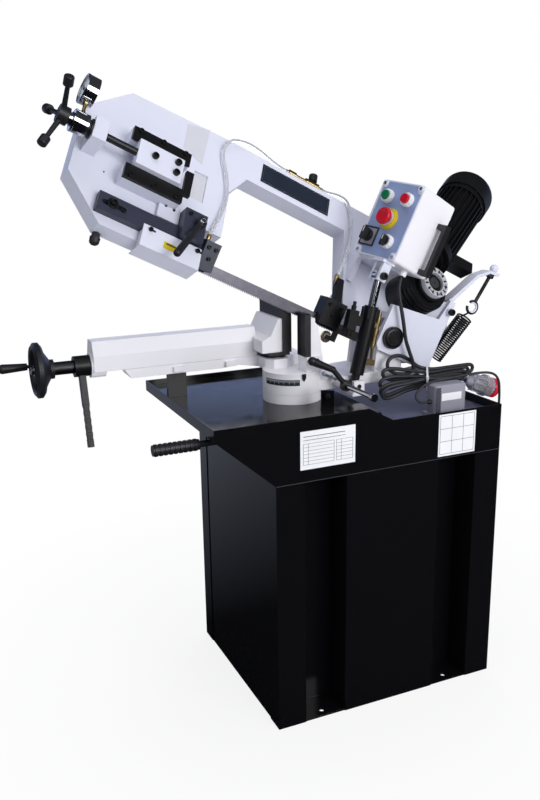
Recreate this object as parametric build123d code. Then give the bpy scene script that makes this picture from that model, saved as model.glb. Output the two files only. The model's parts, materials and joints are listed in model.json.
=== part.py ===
"""Metal cutting band saw on a sheet steel stand, one STEP file for every named piece.

Millimetres, +X to the drive side, +Y to the back, +Z up, origin on the floor under the stand's middle.
"""
import math
import os

from build123d import *

os.makedirs("parts", exist_ok=True)

# General fits
FACE_GAP = 0.3
RUN_FIT = 0.05
SHEET = 2.0

# Stand
STAND_LENGTH = 600.0
STAND_DEPTH = 494.0
STAND_HEIGHT = 608.0
POST_WIDTH = 71.0
CHANNEL_WIDTH = 105.0
CHANNEL_DEPTH = 80.0
SIDE_RETURN = 50.0
TAB_THICK = 4.0
ANCHOR_HOLE = 12.0
ANCHOR_INSET = 22.5

# Chip tray
TRAY_SHEET = 2.5
TRAY_OVERHANG = 140.0
TRAY_FLOOR_RISE = 135.0
TRAY_LIP = 13.0
WELL_RISE = 92.0
WELL_RIM = 21.0
STEP_LEFT = -69.0
STEP_RIGHT = -4.0

# Turret
SWIVEL_X = -158.0
SWIVEL_Y = -35.0
TURRET_RADIUS = 71.0
POST_RADIUS = 38.0
BASE_HEIGHT = 22.0
RING_HEIGHT = 46.5
CAP_HEIGHT = 4.0
TABLE_HEIGHT = 26.0

# Swivel arm and hinge
HINGE_REACH = 243.1
HINGE_RISE = 38.5
HINGE_RADIUS = 14.0
LUG_RADIUS = 30.0
LUG_THICK = 14.0
CHEEK_THICK = 12.0
FRONT_LUG_Y = -76.0
REAR_LUG_Y = 46.0
ARM_LOW = 2.5
ARM_TOP = 28.5
ARM_NECK = 20.5

# Vise
BED_LEFT = -545.0
BED_FRONT = 40.0
BED_BACK = 104.0
BED_THICK = 22.0
BEAM_LEFT = -615.0
BEAM_RIGHT = -216.0
BEAM_HEIGHT = 69.0
BEAM_WALL = 10.0
SCREW_RISE = 12.0
SCREW_RADIUS = 10.0
JAW_FACE = -153.5
JAW_THICK = 20.0
JAW_FRONT = -24.0
JAW_BACK = 118.0
JAW_LOW = 15.0
JAW_HEIGHT = 112.0
UPRIGHT_HEIGHT = 80.0
FIXED_FACE = -147.5
FIXED_THICK = 14.5
FIXED_FOOT = 12.0
FIXED_TALL = 114.0
WHEEL_DIAMETER = 125.0
CRANK_RADIUS = 50.0

# Bow
LIFT = 26.24
TILT = 29.23
PIVOT_RISE = 32.7
BOW_HALF = 22.0
FRONT_WALL = 6.0
COVER_THICK = 4.0
WHEEL_RADIUS = 148.0
WHEEL_WIDTH = 27.0
IDLER_U = -672.0
DRIVE_U = 55.0
HEAD_EDGE = 171.0
HEAD_CHAMFER = 90.0
HEAD_DROP = 12.0
SPINE_TOP = 335.0
SPINE_LOW = 257.0
THROAT_LEFT = -478.0
THROAT_RIGHT = -125.0
DRIVE_HOUSING = 158.0
BOTTOM = -21.0
SLACK = 10.0
GUIDE_NOTCH = 78.0
BAR_RIGHT = -525.0

# Blade
BLADE_THICK = 0.9
BLADE_BODY = 24.0
TOOTH_DEPTH = 3.0
TOOTH_PITCH = 5.0
CUT_LEFT = -520.0
CUT_RIGHT = -120.0
TWIST_LEAD = 12.0

# Gearbox and motor
GEAR_RADIUS = 58.0
GEAR_FRONT = 132.0
WORM_OFFSET = 46.0
WORM_N = 98.0
MOTOR_RADIUS = 66.0
MOTOR_START = 80.0
MOTOR_LENGTH = 240.0
COWL_LENGTH = 70.0
MOTOR_ANGLE = 63.0

# Control box
BOX_U = -70.0
BOX_V = 281.4
BOX_Z = 24.8
BOX_WIDTH = 134.0
BOX_HEIGHT = 187.0
BOX_DEPTH = 123.0
BOX_YAW = 14.65

# Levels and frames worked out from the sizes above
HALF_LENGTH = STAND_LENGTH / 2
HALF_DEPTH = STAND_DEPTH / 2
FLOOR_Z = STAND_HEIGHT + TRAY_FLOOR_RISE
LIP_Z = FLOOR_Z + TRAY_LIP
WELL_Z = STAND_HEIGHT + WELL_RISE
RIM_Z = WELL_Z + WELL_RIM
TRAY_LEFT = -HALF_LENGTH - TRAY_OVERHANG
BASE_TOP = FLOOR_Z + BASE_HEIGHT
RING_TOP = BASE_TOP + FACE_GAP + RING_HEIGHT
CAP_Z = RING_TOP + FACE_GAP
CAP_TOP = CAP_Z + CAP_HEIGHT
TABLE_Z = CAP_Z + TABLE_HEIGHT
SCREW_Z = TABLE_Z + SCREW_RISE
SCREW_Y = (BED_FRONT + BED_BACK) / 2
PIVOT_X = SWIVEL_X + HINGE_REACH
PIVOT_Z = TABLE_Z + HINGE_RISE
WHEEL_V = WHEEL_RADIUS + FACE_GAP + BLADE_THICK / 2
COS_LIFT = math.cos(math.radians(LIFT))
SIN_LIFT = math.sin(math.radians(LIFT))
ORIGIN = (PIVOT_X - PIVOT_RISE * SIN_LIFT, SWIVEL_Y, PIVOT_Z - PIVOT_RISE * COS_LIFT)
CUT = Plane(origin=ORIGIN, x_dir=(COS_LIFT, 0, -SIN_LIFT), z_dir=(0, -1, 0)).location
BOW = CUT * Location((0, 0, 0), (-TILT, 0, 0))
BOX = CUT * Location((BOX_U, BOX_V, BOX_Z), (0, BOX_YAW - 90, 0))


def block(x, y, z):
    """Box between three pairs of limits."""
    return Pos(sum(x) / 2, sum(y) / 2, sum(z) / 2) * Box(x[1] - x[0], y[1] - y[0], z[1] - z[0])


def bar(start, end, radius, top=None):
    """Round bar, or a cone when a top radius is given, between two points."""
    run = Vector(*end) - Vector(*start)
    plane = Plane(origin=start, z_dir=run)
    low = (Align.CENTER, Align.CENTER, Align.MIN)
    if top is None:
        return plane.location * Cylinder(radius, run.length, align=low)
    return plane.location * Cone(radius, top, run.length, align=low)


def prism(points, low, high):
    """Outline in the XY plane carried from low to high."""
    return Pos(0, 0, low) * extrude(make_face(Polyline(*points, close=True)), high - low)


def side_prism(points, low, high):
    """Outline of (x, z) points carried along Y from low to high."""
    plane = Plane(origin=(0, low, 0), x_dir=(1, 0, 0), z_dir=(0, -1, 0))
    face = make_face(Polyline(*points, close=True))
    return plane.location * extrude(face, low - high)


def end_prism(points, low, high):
    """Outline of (y, z) points carried along X from low to high."""
    plane = Plane(origin=(low, 0, 0), x_dir=(0, 1, 0), z_dir=(1, 0, 0))
    return plane.location * extrude(make_face(Polyline(*points, close=True)), high - low)


def joined(pieces):
    """One solid out of pieces that meet."""
    whole = pieces[0]
    for piece in pieces[1:]:
        whole = whole + piece
    return whole


def mirrored(piece):
    """The same piece on the other side of the YZ plane."""
    return mirror(piece, Plane.YZ)


# Sheet steel stand
def stand_face():
    """Folded front: posts, two channels, middle panel and foot tabs."""
    front = -HALF_DEPTH
    floor = front + CHANNEL_DEPTH
    outer = -HALF_LENGTH + POST_WIDTH
    inner = outer + CHANNEL_WIDTH
    up = (0, STAND_HEIGHT)
    half = [
        block((-HALF_LENGTH, outer), (front, front + SHEET), up),
        block((-HALF_LENGTH, -HALF_LENGTH + SHEET), (front, front + SIDE_RETURN), up),
        block((outer - SHEET, outer), (front, floor), up),
        block((outer - SHEET, inner + SHEET), (floor - SHEET, floor), up),
        block((inner, inner + SHEET), (front, floor), up),
        block((inner, 0), (front, front + SHEET), up),
        block((outer, inner), (front + SHEET, floor), (0, TAB_THICK)),
    ]
    middle = (outer + inner) / 2
    anchor = bar((middle, front + ANCHOR_INSET, -1), (middle, front + ANCHOR_INSET, TAB_THICK + 1),
                 ANCHOR_HOLE / 2)
    left = joined(half) - anchor
    return left + mirrored(left)


def stand_panels():
    """Front and rear walls of the stand."""
    face = stand_face()
    return Compound(children=[face, Rot(0, 0, 180) * face])


def stand_side_panels():
    """Left and right walls, standing inside the front and rear ones."""
    inside = -HALF_LENGTH + SHEET
    reach = HALF_DEPTH - SHEET
    left = block((inside, inside + SHEET), (-reach, reach), (0, STAND_HEIGHT))
    return Compound(children=[left, mirrored(left)])


# Chip tray with a raised left floor and a lower right well
LEVER_X = -262.0
LEVER_Y = -HALF_DEPTH + 79.0
LEVER_Z = FLOOR_Z - 38.0
LEVER_PIN = 8.0


def chip_tray():
    """Tray with a raised left floor, a stepped middle and a deep well on the right."""
    skirt = [
        (-HALF_LENGTH, STAND_HEIGHT), (HALF_LENGTH, STAND_HEIGHT), (HALF_LENGTH, RIM_Z),
        (STEP_RIGHT, RIM_Z), (STEP_LEFT, LIP_Z), (TRAY_LEFT, LIP_Z), (TRAY_LEFT, FLOOR_Z - TRAY_LIP),
    ]
    across = (-HALF_DEPTH, HALF_DEPTH)
    step = (STEP_LEFT + STEP_RIGHT) / 2
    pieces = [
        side_prism(skirt, -HALF_DEPTH, -HALF_DEPTH + TRAY_SHEET),
        side_prism(skirt, HALF_DEPTH - TRAY_SHEET, HALF_DEPTH),
        block((TRAY_LEFT, TRAY_LEFT + TRAY_SHEET), across, (FLOOR_Z - TRAY_LIP, LIP_Z)),
        block((TRAY_LEFT, step), across, (FLOOR_Z - TRAY_SHEET, FLOOR_Z)),
        block((step - TRAY_SHEET, step), across, (WELL_Z - TRAY_SHEET, FLOOR_Z)),
        block((step - TRAY_SHEET, HALF_LENGTH), across, (WELL_Z - TRAY_SHEET, WELL_Z)),
        block((HALF_LENGTH - TRAY_SHEET, HALF_LENGTH), across, (STAND_HEIGHT, RIM_Z)),
        block((-HALF_LENGTH, -HALF_LENGTH + TRAY_SHEET), across, (STAND_HEIGHT, FLOOR_Z)),
        bar((LEVER_X, LEVER_Y, LEVER_Z - 16), (LEVER_X, LEVER_Y, FLOOR_Z), LEVER_PIN),
    ]
    slot = block((-HALF_LENGTH - 1, -HALF_LENGTH + TRAY_SHEET + 1), (LEVER_Y - 14, LEVER_Y + 40),
                 (LEVER_Z - 14, LEVER_Z + 14))
    return joined(pieces) - slot


LEVER_LENGTH = 288.0
GRIP_LENGTH = 104.0


def tray_lever():
    """Flat hub, round bar and ribbed grip below the tray's left end."""
    hub = bar((LEVER_X, LEVER_Y, LEVER_Z - 9), (LEVER_X, LEVER_Y, LEVER_Z + 9), 18)
    tip = LEVER_X - LEVER_LENGTH
    rod = bar((LEVER_X - 12, LEVER_Y, LEVER_Z), (tip + 4, LEVER_Y, LEVER_Z), 7)
    grip = bar((tip, LEVER_Y, LEVER_Z), (tip + GRIP_LENGTH, LEVER_Y, LEVER_Z), 12)
    lever = hub + rod + grip
    for rib in range(9):
        start = tip + 4 + rib * 11
        lever = lever + bar((start, LEVER_Y, LEVER_Z), (start + 6, LEVER_Y, LEVER_Z), 13.5)
    bore = bar((LEVER_X, LEVER_Y, LEVER_Z - 20), (LEVER_X, LEVER_Y, LEVER_Z + 20), LEVER_PIN + RUN_FIT)
    return lever - bore


PUMP_LEFT = 131.0
PUMP_WIDTH = 88.0
PUMP_DEPTH = 40.0
PUMP_HEIGHT = 76.0
PUMP_FLANGE = 6.0
PUMP_FRONT = -HALF_DEPTH + 32.0


def coolant_pump():
    """Pump housing with a flange standing in the well."""
    edge = PUMP_FLANGE
    right = PUMP_LEFT + PUMP_WIDTH
    back = PUMP_FRONT + PUMP_DEPTH
    foot = block((PUMP_LEFT - edge, right + edge), (PUMP_FRONT - edge, back + edge), (WELL_Z, WELL_Z + edge))
    body = block((PUMP_LEFT, right), (PUMP_FRONT, back), (WELL_Z + edge, WELL_Z + PUMP_HEIGHT))
    body = fillet(body.edges().filter_by(Axis.Z), 8)
    body = chamfer(body.faces().sort_by(Axis.Z)[-1].edges(), 3)
    return foot + body


# Turret and vise bed
def turret_base():
    """Round base bolted to the tray with the post that the arm turns on."""
    ring = bar((SWIVEL_X, SWIVEL_Y, FLOOR_Z), (SWIVEL_X, SWIVEL_Y, BASE_TOP), TURRET_RADIUS)
    post = bar((SWIVEL_X, SWIVEL_Y, BASE_TOP), (SWIVEL_X, SWIVEL_Y, CAP_Z), POST_RADIUS)
    return ring + post


NUT_X = -470.0
BLADE_ROOM = 8.5
TABLE_LEFT = SWIVEL_X - 57.0
TABLE_RIGHT = SWIVEL_X + 58.0
TABLE_BACK = BED_BACK - 14.0


def vise_bed():
    """Cap on the turret post, table, long bed and the screw's nut."""
    cap = bar((SWIVEL_X, SWIVEL_Y, CAP_Z), (SWIVEL_X, SWIVEL_Y, CAP_TOP), TURRET_RADIUS)
    edge = SWIVEL_Y + BLADE_ROOM
    reach = TABLE_RIGHT - SWIVEL_X + 2 * BLADE_ROOM
    table = prism([
        (TABLE_LEFT, edge + 22), (TABLE_LEFT + 14, edge), (SWIVEL_X - BLADE_ROOM, edge),
        (TABLE_RIGHT, SWIVEL_Y + reach), (TABLE_RIGHT, TABLE_BACK), (TABLE_LEFT, TABLE_BACK),
    ], CAP_Z, TABLE_Z)
    low = TABLE_Z - BED_THICK
    bed = side_prism([
        (BED_LEFT, TABLE_Z), (BED_LEFT + 14, low), (TABLE_LEFT - 90, low), (TABLE_LEFT - 50, low + 4),
        (TABLE_LEFT + 6, low - 6), (TABLE_LEFT + 6, TABLE_Z),
    ], BED_FRONT, BED_BACK)
    pads = [block((x, x + 26), (BED_FRONT - 8, BED_FRONT), (low + 4, low + 16)) for x in (-430.0, -300.0)]
    nut = block((NUT_X, NUT_X + 30), (SCREW_Y - 13, SCREW_Y + 13), (TABLE_Z, SCREW_Z + 16))
    bore = bar((NUT_X - 1, SCREW_Y, SCREW_Z), (NUT_X + 31, SCREW_Y, SCREW_Z), SCREW_RADIUS + RUN_FIT)
    return joined([cap, table, bed] + pads + [nut]) - bore


SUPPORT_X = (-428.0, -380.0)
SUPPORT_WALL = 8.0
POST_PLACE = (-137.0, -176.0)
POST_TURN = -24.0
POST_HALF = 15.0
POST_TALL = 48.0


def tray_brackets():
    """Support under the bed and the angle stop post."""
    low = TABLE_Z - BED_THICK
    near = BED_BACK - SUPPORT_WALL
    support = block(SUPPORT_X, (near, BED_BACK), (FLOOR_Z, low))
    support = support + block(SUPPORT_X, (near, BED_BACK + 24), (FLOOR_Z, FLOOR_Z + 5))
    wide = (-POST_HALF, POST_HALF)
    bolt_z = FLOOR_Z + POST_TALL - 12
    post = block(wide, (-3, 3), (FLOOR_Z, FLOOR_Z + POST_TALL))
    post = post + block(wide, (-3, 22), (FLOOR_Z, FLOOR_Z + 4))
    post = post + bar((0, -10, bolt_z), (0, 8, bolt_z), 5)
    return Compound(children=[support, Pos(*POST_PLACE, 0) * Rot(0, 0, POST_TURN) * post])


FIXED_BACK = SWIVEL_Y - BLADE_ROOM
FIXED_FRONT = -86.0
FOOT_TOP = TABLE_Z + FIXED_FOOT
REAR_JAW_Y = (34.0, 75.0)


def fixed_jaw():
    """Two castings behind the fixed jaw plates, clear of the blade's path."""
    x = FIXED_FACE + FIXED_THICK
    foot = block((FIXED_FACE, x + 23), (FIXED_FRONT - 6, FIXED_BACK - 4), (CAP_TOP, FOOT_TOP))
    front = block((x, x + 12), (FIXED_FRONT + 2, FIXED_BACK - 13), (FOOT_TOP, TABLE_Z + 102))
    gusset = side_prism([
        (x + 12, CAP_TOP), (x + 36, CAP_TOP), (x + 20, TABLE_Z + 84), (x + 12, TABLE_Z + 92),
    ], FIXED_FRONT + 2, FIXED_FRONT + 14)
    rear_low, rear_high = REAR_JAW_Y
    rear = block((FIXED_FACE + 7, FIXED_FACE + 13), REAR_JAW_Y, (TABLE_Z, TABLE_Z + 92))
    heel = block((FIXED_FACE + 7, FIXED_FACE + 24), (rear_low + 24, rear_high), (TABLE_Z, TABLE_Z + 62))
    return Compound(children=[joined([foot, front, gusset]), rear + heel])


DISC_X = -180.0
DISC_Y = 24.0
DISC_RADIUS = 31.0
DISC_THICK = 3.0
FOOT_CLEAR = 4.0


def vise_plates():
    """Steel plates of the fixed jaws and the round steel plate in the table."""
    deep = (FIXED_FACE, FIXED_FACE + FIXED_THICK)
    front = block(deep, (FIXED_FRONT, FIXED_BACK), (FOOT_TOP, TABLE_Z + FIXED_TALL))
    front = chamfer(front.faces().sort_by(Axis.Z)[-1].edges(), 3)
    low, high = REAR_JAW_Y
    rear = block((FIXED_FACE, FIXED_FACE + 7), (low - 2, high + 2), (TABLE_Z, TABLE_Z + 100))
    round_plate = bar((DISC_X, DISC_Y, TABLE_Z), (DISC_X, DISC_Y, TABLE_Z + DISC_THICK), DISC_RADIUS)
    return Compound(children=[front, rear, round_plate])


# Moving jaw
def jaw_beam():
    """Hollow beam over the bed, end boss for the screw, upright behind the jaw plate."""
    low = TABLE_Z + FACE_GAP
    top = TABLE_Z + BEAM_HEIGHT
    front = BED_FRONT
    back = BED_BACK
    outer = [
        (front, low), (front, low + 36), (front + 13, top), (back - 13, top), (back, low + 36), (back, low),
    ]
    w = BEAM_WALL
    inner = [
        (front + w, low - 1), (front + w, low + 32), (front + 20, top - w), (back - 20, top - w),
        (back - w, low + 32), (back - w, low - 1),
    ]
    shell = end_prism(outer, BEAM_LEFT, BEAM_RIGHT)
    shell = shell - end_prism(inner, BEAM_LEFT + 30, BEAM_RIGHT - 14)
    boss = bar((BEAM_LEFT - 4, SCREW_Y, SCREW_Z), (BEAM_LEFT + 30, SCREW_Y, SCREW_Z), 29)
    x = JAW_FACE - JAW_THICK
    base = TABLE_Z + JAW_LOW
    upright = side_prism([
        (x, base), (x, base + UPRIGHT_HEIGHT), (x - 10, base + UPRIGHT_HEIGHT), (x - 30, base + 40),
        (BEAM_RIGHT - 10, base + 30), (BEAM_RIGHT - 10, base),
    ], JAW_FRONT + 9, JAW_BACK - 2)
    whole = joined([shell, boss, upright])
    bore = bar((BEAM_LEFT - 10, SCREW_Y, SCREW_Z), (BEAM_LEFT + 40, SCREW_Y, SCREW_Z), SCREW_RADIUS + RUN_FIT)
    return whole - bore


def jaw_plate():
    """Tall steel jaw plate with two screw holes and a flat foot just above the table's plate."""
    base = TABLE_Z + JAW_LOW
    x = JAW_FACE - JAW_THICK
    plate = block((x, JAW_FACE), (JAW_FRONT, JAW_BACK), (base, base + JAW_HEIGHT))
    for y in (JAW_FRONT + 30, JAW_BACK - 30):
        plate = plate - bar((JAW_FACE - 6, y, base + 60), (JAW_FACE + 1, y, base + 60), 6)
    foot_low = TABLE_Z + DISC_THICK + FOOT_CLEAR
    foot = block((x - 34, JAW_FACE - 2), (JAW_FRONT + 6, JAW_BACK - 4), (foot_low, base))
    return plate + foot


COLLAR_X = -655.0
HUB_X = -700.0
SCREW_END = -235.0


def vise_screw():
    """Plain screw with turned grooves at its working length."""
    screw = bar((HUB_X - 30, SCREW_Y, SCREW_Z), (SCREW_END, SCREW_Y, SCREW_Z), SCREW_RADIUS)
    neck = bar((HUB_X, SCREW_Y, SCREW_Z), (COLLAR_X - FACE_GAP, SCREW_Y, SCREW_Z), 15)
    return screw + neck


def handwheel():
    """Dished hand wheel on the screw's left end."""
    rim = WHEEL_DIAMETER / 2
    centre = (SCREW_Y, SCREW_Z)
    profile = [
        (0, 0), (22, 0), (22, -8), (44, -22), (rim - 8, -24), (rim, -30), (rim, -40), (rim - 8, -46),
        (rim - 14, -42), (44, -34), (20, -22), (20, -34), (0, -34),
    ]
    face = make_face(Polyline(*[(r, z) for r, z in profile], close=True))
    turned = revolve(Plane.XZ.location * face, Axis.Z)
    wheel = Location((HUB_X, centre[0], centre[1]), (0, 90, 0)) * turned
    bore = bar((HUB_X - 60, SCREW_Y, SCREW_Z), (HUB_X + 10, SCREW_Y, SCREW_Z), SCREW_RADIUS)
    pin = bar((HUB_X - 52, SCREW_Y + CRANK_RADIUS, SCREW_Z), (HUB_X - 30, SCREW_Y + CRANK_RADIUS, SCREW_Z), 4)
    crank_y = SCREW_Y + CRANK_RADIUS
    pin = pin + bar((HUB_X - 98, crank_y, SCREW_Z), (HUB_X - 50, crank_y, SCREW_Z), 4)
    return wheel - bore + pin


def crank_grip():
    """Tapered revolving grip on the wheel's pin."""
    y = SCREW_Y + CRANK_RADIUS
    left = HUB_X - 104
    grip = bar((left, y, SCREW_Z), (left + 54, y, SCREW_Z), 11, 8)
    grip = grip + Pos(left, y, SCREW_Z) * Sphere(11)
    bore = bar((left + 5.5, y, SCREW_Z), (left + 60, y, SCREW_Z), 4 + RUN_FIT)
    return grip - bore


def clamp_lever():
    """Collar on the screw with a hanging lever and notched grip."""
    ring = bar((COLLAR_X, SCREW_Y, SCREW_Z), (BEAM_LEFT - 4 - FACE_GAP, SCREW_Y, SCREW_Z), 24)
    bore = bar((COLLAR_X - 1, SCREW_Y, SCREW_Z), (BEAM_LEFT, SCREW_Y, SCREW_Z), SCREW_RADIUS + RUN_FIT)
    x = COLLAR_X + 17
    arm = block((x - 7, x + 7), (-10, 10), (-92, -18))
    grip = block((x - 6, x + 6), (-11, 11), (-186, -88))
    for step in range(5):
        z = -100.0 - step * 16
        grip = grip - block((x - 8, x + 8), (-13, -8), (z - 4, z + 4))
        grip = grip - block((x - 8, x + 8), (8, 13), (z - 4, z + 4))
    lever = Pos(0, SCREW_Y, SCREW_Z) * Rot(-15, 0, 0) * (arm + grip)
    return ring + lever - bore


# Swivel arm with its two hinge lugs
ARM_FLOOR = BASE_TOP + ARM_LOW
ARM_DECK = BASE_TOP + ARM_TOP
ARM_END = 125.0
CYL_Y = -100.0
CYL_LOW_X = -25.0
CYL_LOW_Z = FLOOR_Z + 31.0
CYL_PIN = 6.0
SPRING_Y = -64.0
SPRING_FOOT_X = 204.0
SPRING_FOOT_Z = FLOOR_Z + 44.0
ROD_X = -62.0
ROD_Z = FLOOR_Z + 39.0
ROD_RADIUS = 6.0
LOCK_Y = -120.0
LOCK_HUB = 13.0
LOCK_WIDTH = 14.0
LOCK_BEND = (-35.0, 42.0)
LOCK_TIP = (-88.0, 67.0)
LOCK_BAR = 6.2
LOCK_GRIP = 10.0
STOP_FRONT = -252.0
STOP_BACK = 69.0


def swivel_arm():
    """Arm that turns on the post and carries the bow's hinge, cylinder bracket and spring foot."""
    ring = bar((SWIVEL_X, SWIVEL_Y, BASE_TOP + FACE_GAP), (SWIVEL_X, SWIVEL_Y, RING_TOP), TURRET_RADIUS)
    lug_back = REAR_LUG_Y + LUG_THICK
    arm = prism([
        (SWIVEL_X, SWIVEL_Y - 60), (40, FRONT_LUG_Y - 4), (ARM_END, FRONT_LUG_Y - 4), (ARM_END, lug_back + 4),
        (40, lug_back + 4), (SWIVEL_X, SWIVEL_Y + 60),
    ], ARM_FLOOR, ARM_DECK)
    deck = block((60, ARM_END + 1), (FRONT_LUG_Y - 5, lug_back + 5), (BASE_TOP + ARM_NECK, ARM_DECK + 1))
    arm = arm - deck
    lugs = []
    for low in (FRONT_LUG_Y, REAR_LUG_Y):
        plate = side_prism([
            (PIVOT_X - LUG_RADIUS, PIVOT_Z), (PIVOT_X - LUG_RADIUS - 14, ARM_FLOOR), (ARM_END, ARM_FLOOR),
            (PIVOT_X + LUG_RADIUS, PIVOT_Z),
        ], low, low + LUG_THICK)
        eye = bar((PIVOT_X, low, PIVOT_Z), (PIVOT_X, low + LUG_THICK, PIVOT_Z), LUG_RADIUS)
        lugs.append(plate + eye)
    ear = side_prism([
        (ARM_END - 10, ARM_FLOOR), (SPRING_FOOT_X - 4, SPRING_FOOT_Z - 12),
        (SPRING_FOOT_X + 8, SPRING_FOOT_Z - 8),
        (SPRING_FOOT_X + 8, SPRING_FOOT_Z + 6), (SPRING_FOOT_X - 8, SPRING_FOOT_Z + 8),
        (ARM_END - 10, BASE_TOP + ARM_NECK),
    ], SPRING_Y - 5, SPRING_Y + 5)
    foot = CYL_LOW_Z - 22
    bracket = block((CYL_LOW_X - 18, CYL_LOW_X + 18), (CYL_Y - 26, CYL_Y + 24), (foot, foot + 8))
    for low in (CYL_Y - 26, CYL_Y + 14):
        bracket = bracket + block((CYL_LOW_X - 14, CYL_LOW_X + 14), (low, low + 10), (foot, CYL_LOW_Z + 14))
    wide = (CYL_LOW_X - 14, CYL_LOW_X + 14)
    bracket = bracket + block(wide, (CYL_Y + 14, CYL_Y + 40), (ARM_FLOOR, ARM_DECK))
    socket = bar((ROD_X, LOCK_Y + FACE_GAP, ROD_Z), (ROD_X, -60, ROD_Z), 2 * ROD_RADIUS)
    whole = joined([ring, arm] + lugs + [ear, bracket, socket])
    cuts = [
        bar((SWIVEL_X, SWIVEL_Y, BASE_TOP - 5), (SWIVEL_X, SWIVEL_Y, CAP_Z + 5), POST_RADIUS + FACE_GAP),
        bar((PIVOT_X, FRONT_LUG_Y - 5, PIVOT_Z), (PIVOT_X, lug_back + 5, PIVOT_Z), HINGE_RADIUS + RUN_FIT),
        bar((CYL_LOW_X, CYL_Y - 40, CYL_LOW_Z), (CYL_LOW_X, CYL_Y + 26, CYL_LOW_Z), CYL_PIN),
        bar((ROD_X, STOP_FRONT, ROD_Z), (ROD_X, 2 * STOP_BACK, ROD_Z), ROD_RADIUS + RUN_FIT),
        bar((SPRING_FOOT_X, SPRING_Y - 10, SPRING_FOOT_Z), (SPRING_FOOT_X, SPRING_Y + 10, SPRING_FOOT_Z), 3),
    ]
    for cut in cuts:
        whole = whole - cut
    return whole


def stop_rod():
    """Work stop rod sliding through the arm, with a turned head at its front end."""
    rod = bar((ROD_X, STOP_FRONT, ROD_Z), (ROD_X, STOP_BACK, ROD_Z), ROD_RADIUS)
    return rod + bar((ROD_X, STOP_FRONT - 6, ROD_Z), (ROD_X, STOP_FRONT + 4, ROD_Z), 1.5 * ROD_RADIUS)


def lock_lever():
    """Cranked handle whose hub clamps round the stop rod."""
    y = LOCK_Y - LOCK_WIDTH / 2
    bend = (ROD_X + LOCK_BEND[0], y, ROD_Z + LOCK_BEND[1])
    tip = (ROD_X + LOCK_TIP[0], y, ROD_Z + LOCK_TIP[1])
    whole = joined([
        bar((ROD_X, LOCK_Y - LOCK_WIDTH, ROD_Z), (ROD_X, LOCK_Y, ROD_Z), LOCK_HUB),
        bar((ROD_X, y, ROD_Z), bend, LOCK_BAR),
        Pos(*bend) * Sphere(LOCK_BAR + 1.5),
        bar(bend, tip, LOCK_BAR + 1, LOCK_GRIP),
        Pos(*tip) * Sphere(LOCK_GRIP + 0.5),
    ])
    reach = 2 * LOCK_WIDTH
    return whole - bar((ROD_X, LOCK_Y - reach, ROD_Z), (ROD_X, LOCK_Y + reach, ROD_Z), ROD_RADIUS + RUN_FIT)


# Feed cylinder between arm and bow
CYL_BOW = (-110.0, 151.0)
CYL_BOW_Z = SWIVEL_Y - CYL_Y
CYL_TOP = CUT * Pos(CYL_BOW[0], CYL_BOW[1], CYL_BOW_Z)
CYL_TOP_X = CYL_TOP.position.X
CYL_TOP_Z = CYL_TOP.position.Z
CYL_RADIUS = 17.0
CYL_LENGTH = 165.0
PISTON_RADIUS = 10.0
CYL_FOOT = 26.0
SWITCH_X = (-15.0, 5.0)
SWITCH_Y = (38.0, 62.0)
SWITCH_Z = (128.0, 175.0)
EYE_SLOP = 3.0
CYL_SPAN = math.hypot(CYL_TOP_X - CYL_LOW_X, CYL_TOP_Z - CYL_LOW_Z)
CYL_FRAME = Plane(
    origin=(CYL_LOW_X, CYL_Y, CYL_LOW_Z), x_dir=(0, 1, 0),
    z_dir=(CYL_TOP_X - CYL_LOW_X, 0, CYL_TOP_Z - CYL_LOW_Z),
).location


def limit_switch():
    """Switch on a plate beside the cylinder, with its plunger above and its gland below."""
    case = fillet(block(SWITCH_X, SWITCH_Y, SWITCH_Z).edges().filter_by(Axis.X), 2)
    x = sum(SWITCH_X) / 2
    y = sum(SWITCH_Y) / 2
    low, high = SWITCH_Z
    middle = (low + high) / 2
    return joined([
        case,
        bar((x, y, high), (x, y, high + 10), 6),
        bar((x, y, high + 10), (x, y, high + 20), 4),
        bar((x, y, low - 14), (x, y, low), 7),
        block((-3, 3), (CYL_RADIUS + FACE_GAP, SWITCH_Y[0]), (middle - 12, middle + 12)),
    ])


def feed_cylinder():
    """Cylinder body with a square head, a lower eye and its cross pin, and the limit switch beside it."""
    high = CYL_FOOT + CYL_LENGTH
    side = (-CYL_RADIUS + 1, CYL_RADIUS - 1)
    pieces = [
        bar((-12, 0, 0), (12, 0, 0), 11),
        bar((0, 0, 8), (0, 0, CYL_FOOT + 6), 10),
        bar((0, 0, CYL_FOOT), (0, 0, high), CYL_RADIUS),
        block(side, side, (high - 30, high - 4)),
        bar((-26, 0, 0), (26, 0, 0), CYL_PIN - RUN_FIT),
    ]
    bore = bar((0, 0, 40), (0, 0, 40 + CYL_LENGTH), PISTON_RADIUS + RUN_FIT)
    return CYL_FRAME * Compound(children=[joined(pieces) - bore, limit_switch()])


VALVE_OUT = 9.0
VALVE_NUTS = [
    (22.0, 12.0, 6.0), (34.0, 12.0, 8.5), (52.0, 18.0, 6.5), (64.0, 12.0, 8.5),
    (82.0, 18.0, 6.5), (94.0, 12.0, 8.0),
]


def cylinder_fittings():
    """Brass valve with its union nuts and the return pipe beside the body."""
    high = CYL_FOOT + CYL_LENGTH
    out = -CYL_RADIUS - VALVE_OUT
    nuts = [bar((0, out, high - low), (0, out, high - low + tall), wide) for low, tall, wide in VALVE_NUTS]
    port = block((-6, 6), (out, 0), (high - 48, high - 36))
    pipe = bar((0, out, high - 92), (0, out - 6, CYL_FOOT + 34), 3.5)
    foot = block((-7, 7), (out - 13, 0), (CYL_FOOT + 26, CYL_FOOT + 40))
    whole = joined(nuts + [port, pipe, foot])
    return CYL_FRAME * (whole - bar((0, 0, CYL_FOOT), (0, 0, 2 * CYL_LENGTH), CYL_RADIUS))


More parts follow.
